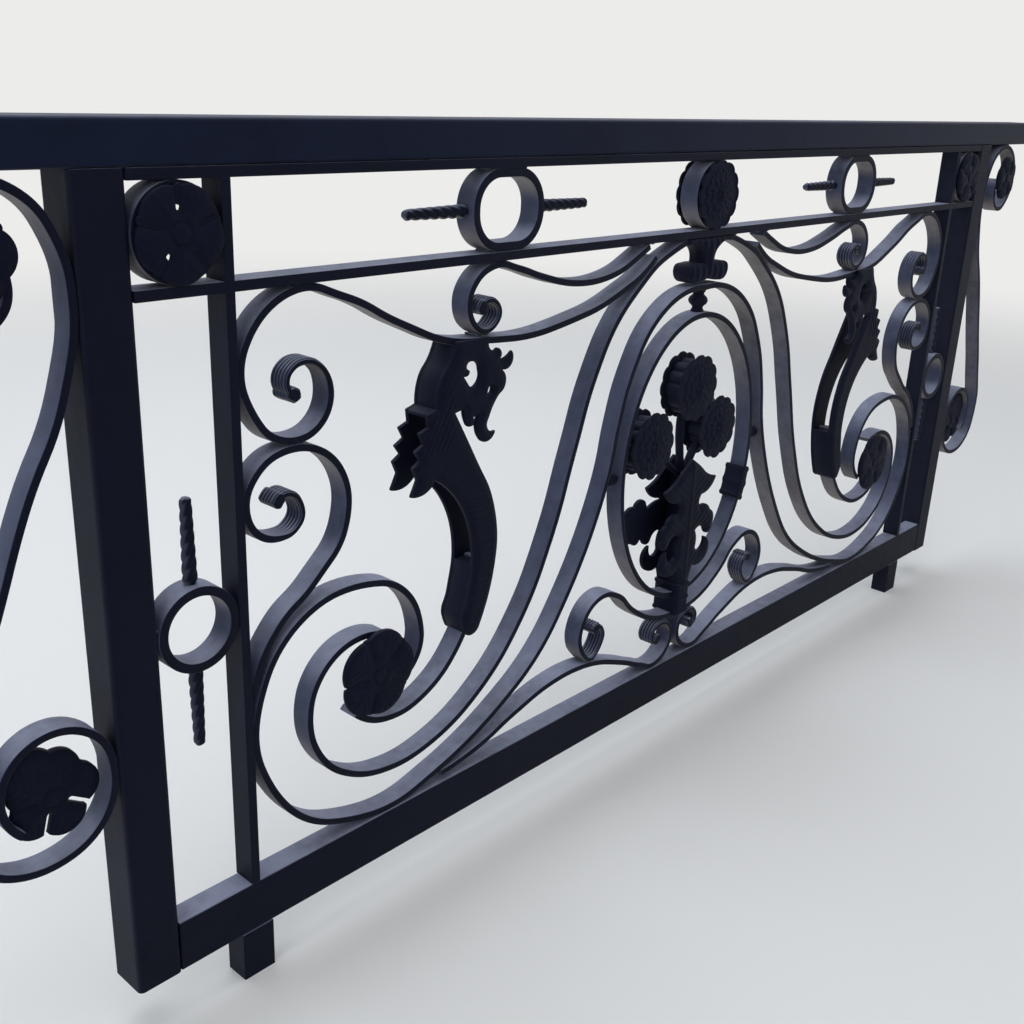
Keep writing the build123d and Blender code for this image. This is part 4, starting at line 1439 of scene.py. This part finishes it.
class RAILING_OT_paint(bpy.types.Operator):
    """Mix the paints and brush them on the bars, posts and handrail of the frame"""

    bl_idname = "railing.paint"
    bl_label = "Paint the frame"

    def execute(self, context):
        paints = context.scene.railing_paint
        group = paint_group()
        paint_material("bar paint", group, paints.bar, paints, BAR_WEAR_AND_LIGHT, rounded=False)
        # The frame's flats take a dimmer painted light than the bars
        paint_material("frame paint", group, paints.bar, paints, FRAME_WEAR_AND_LIGHT, flat=paints.side)
        paint_material("casting paint", group, paints.casting, paints, CASTING_WEAR_AND_LIGHT, rounded=False)
        paint_material("handrail paint", group, paints.rail, paints, HANDRAIL_WEAR_AND_LIGHT)
        names = {s["node"]: s["material_slot"] for s in frame["record"]["subparts"]}
        for name, obj in NODES.items():
            material = names[name].replace("_", " ")
            material = bpy.data.materials["frame paint" if material == "bar paint" else material]
            obj.data.materials.clear()
            obj.data.materials.append(material)
        return {"FINISHED"}


# The view of the photograph
CAMERA_PLACE = (-0.6112, -0.9140, 0.9477)
CAMERA_AZIMUTH = math.radians(48.10)
CAMERA_ELEVATION = math.radians(-20.13)
CAMERA_ROLL = math.radians(-2.34)
CAMERA_LENS = 41.25
# Soft lights: name, place, what they point at, size, power and colour
LIGHTS = (
    ("sky light", (0.2, 2.6, 4.8), (0.8, 0, 0.4), 4.5, 105, (0.86, 0.92, 1.0)),
    ("overhead light", (0.2, -0.4, 5.0), (0.8, 0, 0.4), 4.0, 75, (0.98, 0.99, 1.0)),
    ("left light", (-4.4, -1.2, 2.8), (0.8, 0, 0.5), 3.5, 70, (0.92, 0.96, 1.0)),
)
# The sky: its colour, its strength as a light, and what the eye sees on top of that
SKY_COLOUR = (0.93, 0.95, 1.0, 1)
SKY_LIGHT = 0.50
SKY_SEEN = 0.38
# The floor: its flat part, the bend into the wall and the wall's top, and the
# distances from the railing between which it turns from lit to pale
FLOOR_FLAT = 7.0
FLOOR_BEND = 3.0
WALL_TOP = 9.0
GLOW_REACH = (2.2, 5.5)


class RAILING_OT_stage(bpy.types.Operator):
    """Set the pale floor, the soft lights and the camera"""

    bl_idname = "railing.stage"
    bl_label = "Set the stage"

    def execute(self, context):
        scene = context.scene
        # Floor that curves up into a wall all round, far from the railing
        centre = (CAD_BOX[0][0] + CAD_BOX[1][0]) / 2
        outline = [(0.4, 0.0), (3.0, 0.0)]
        for k in range(13):
            angle = math.radians(90 * k / 12)
            outline.append((FLOOR_FLAT + FLOOR_BEND * math.sin(angle), FLOOR_BEND * (1 - math.cos(angle))))
        outline.append((FLOOR_FLAT + FLOOR_BEND, WALL_TOP))
        rings = [[(centre + r * math.cos(a), r * math.sin(a), z) for a in turns(96)] for r, z in outline]
        skin = shell(rings, last=False)
        mesh = bpy.data.meshes.new("floor")
        mesh.from_pydata(skin[0], [], skin[1])
        mesh.shade_smooth()
        mesh.materials.append(self.floor_material(centre))
        floor = bpy.data.objects.new("floor", mesh)
        scene.collection.objects.link(floor)
        # Sky: pale to the eye and in reflections, softer as a light
        world = bpy.data.worlds.new("pale room")
        scene.world = world
        world.use_nodes = True
        w = Wiring(world.node_tree)
        background = world.node_tree.nodes["Background"]
        background.inputs["Color"].default_value = SKY_COLOUR
        w.feed(background.inputs["Strength"], w.plus(w.times(w.seen(), SKY_SEEN), SKY_LIGHT))
        for name, place, target, size, power, colour in LIGHTS:
            light = bpy.data.lights.new(name, "AREA")
            light.size = size
            light.energy = power
            light.color = colour
            lamp = bpy.data.objects.new(name, light)
            lamp.location = place
            lamp.rotation_euler = (Vector(target) - Vector(place)).to_track_quat("-Z", "Y").to_euler()
            scene.collection.objects.link(lamp)
        self.set_camera(scene)
        scene.view_settings.view_transform = "Standard"
        return {"FINISHED"}

    def floor_material(self, centre):
        """A pale matt floor that is as pale as its colour away from the railing."""
        material = bpy.data.materials.new("pale floor")
        material.use_nodes = True
        tree = material.node_tree
        shader = tree.nodes["Principled BSDF"]
        shader.inputs["Base Color"].default_value = (0.80, 0.80, 0.79, 1)
        shader.inputs["Roughness"].default_value = 0.9
        shader.inputs["Specular IOR Level"].default_value = 0.1
        w = Wiring(tree)
        away = tree.nodes.new("ShaderNodeVectorMath")
        away.operation = "DISTANCE"
        away.inputs[1].default_value = (centre, 0.0, 0.0)
        w.feed(away.inputs[0], tree.nodes.new("ShaderNodeTexCoord").outputs["Object"])
        glow = tree.nodes.new("ShaderNodeEmission")
        glow.inputs["Color"].default_value = (0.84, 0.84, 0.83, 1)
        blend = tree.nodes.new("ShaderNodeMixShader")
        w.feed(blend.inputs[0], w.times(w.seen(), w.ramp(away.outputs["Value"], *GLOW_REACH)))
        w.feed(blend.inputs[1], shader.outputs[0])
        w.feed(blend.inputs[2], glow.outputs[0])
        w.feed(tree.nodes["Material Output"].inputs["Surface"], blend.outputs[0])
        return material

    def set_camera(self, scene):
        """Puts the camera where the photograph was taken from."""
        camera = bpy.data.cameras.new("camera")
        camera.sensor_width = 36
        camera.lens = CAMERA_LENS
        camera.clip_start = 0.05
        eye = bpy.data.objects.new("camera", camera)
        az, el, roll = CAMERA_AZIMUTH, CAMERA_ELEVATION, CAMERA_ROLL
        forward = Vector((math.cos(el) * math.sin(az), math.cos(el) * math.cos(az), math.sin(el)))
        level = Vector((math.cos(az), -math.sin(az), 0))
        down = forward.cross(level)
        right = level * math.cos(roll) + down * math.sin(roll)
        up = level * math.sin(roll) - down * math.cos(roll)
        matrix = eye.matrix_world.copy()
        for column, axis in enumerate((right, up, -forward)):
            for row in range(3):
                matrix[row][column] = axis[row]
        matrix.translation = Vector(CAMERA_PLACE)
        eye.matrix_world = matrix
        scene.collection.objects.link(eye)
        scene.camera = eye


class RAILING_PT_panel(bpy.types.Panel):
    """Steps of the railing in the sidebar"""

    bl_idname = "RAILING_PT_panel"
    bl_label = "Railing"
    bl_space_type = "VIEW_3D"
    bl_region_type = "UI"
    bl_category = "Railing"

    def draw(self, context):
        for step in STEPS:
            self.layout.operator(step.bl_idname)


STEPS = [
    RAILING_OT_paint,
    RAILING_OT_scrolls,
    RAILING_OT_rings,
    RAILING_OT_flowers,
    RAILING_OT_leaves,
    RAILING_OT_dragons,
    RAILING_OT_bud,
    RAILING_OT_collars,
    RAILING_OT_beads,
    RAILING_OT_stage,
]
CLASSES = [RailingSizes, RailingPaint, *STEPS, RAILING_PT_panel]


def register():
    for cls in CLASSES:
        bpy.utils.register_class(cls)
    bpy.types.Scene.railing_sizes = PointerProperty(type=RailingSizes)
    bpy.types.Scene.railing_paint = PointerProperty(type=RailingPaint)


def unregister():
    del bpy.types.Scene.railing_paint
    del bpy.types.Scene.railing_sizes
    for cls in reversed(CLASSES):
        bpy.utils.unregister_class(cls)


def main():
    register()
    for step in STEPS:
        family, action = step.bl_idname.split(".")
        getattr(getattr(bpy.ops, family), action)()


if __name__ == "__main__":
    main()
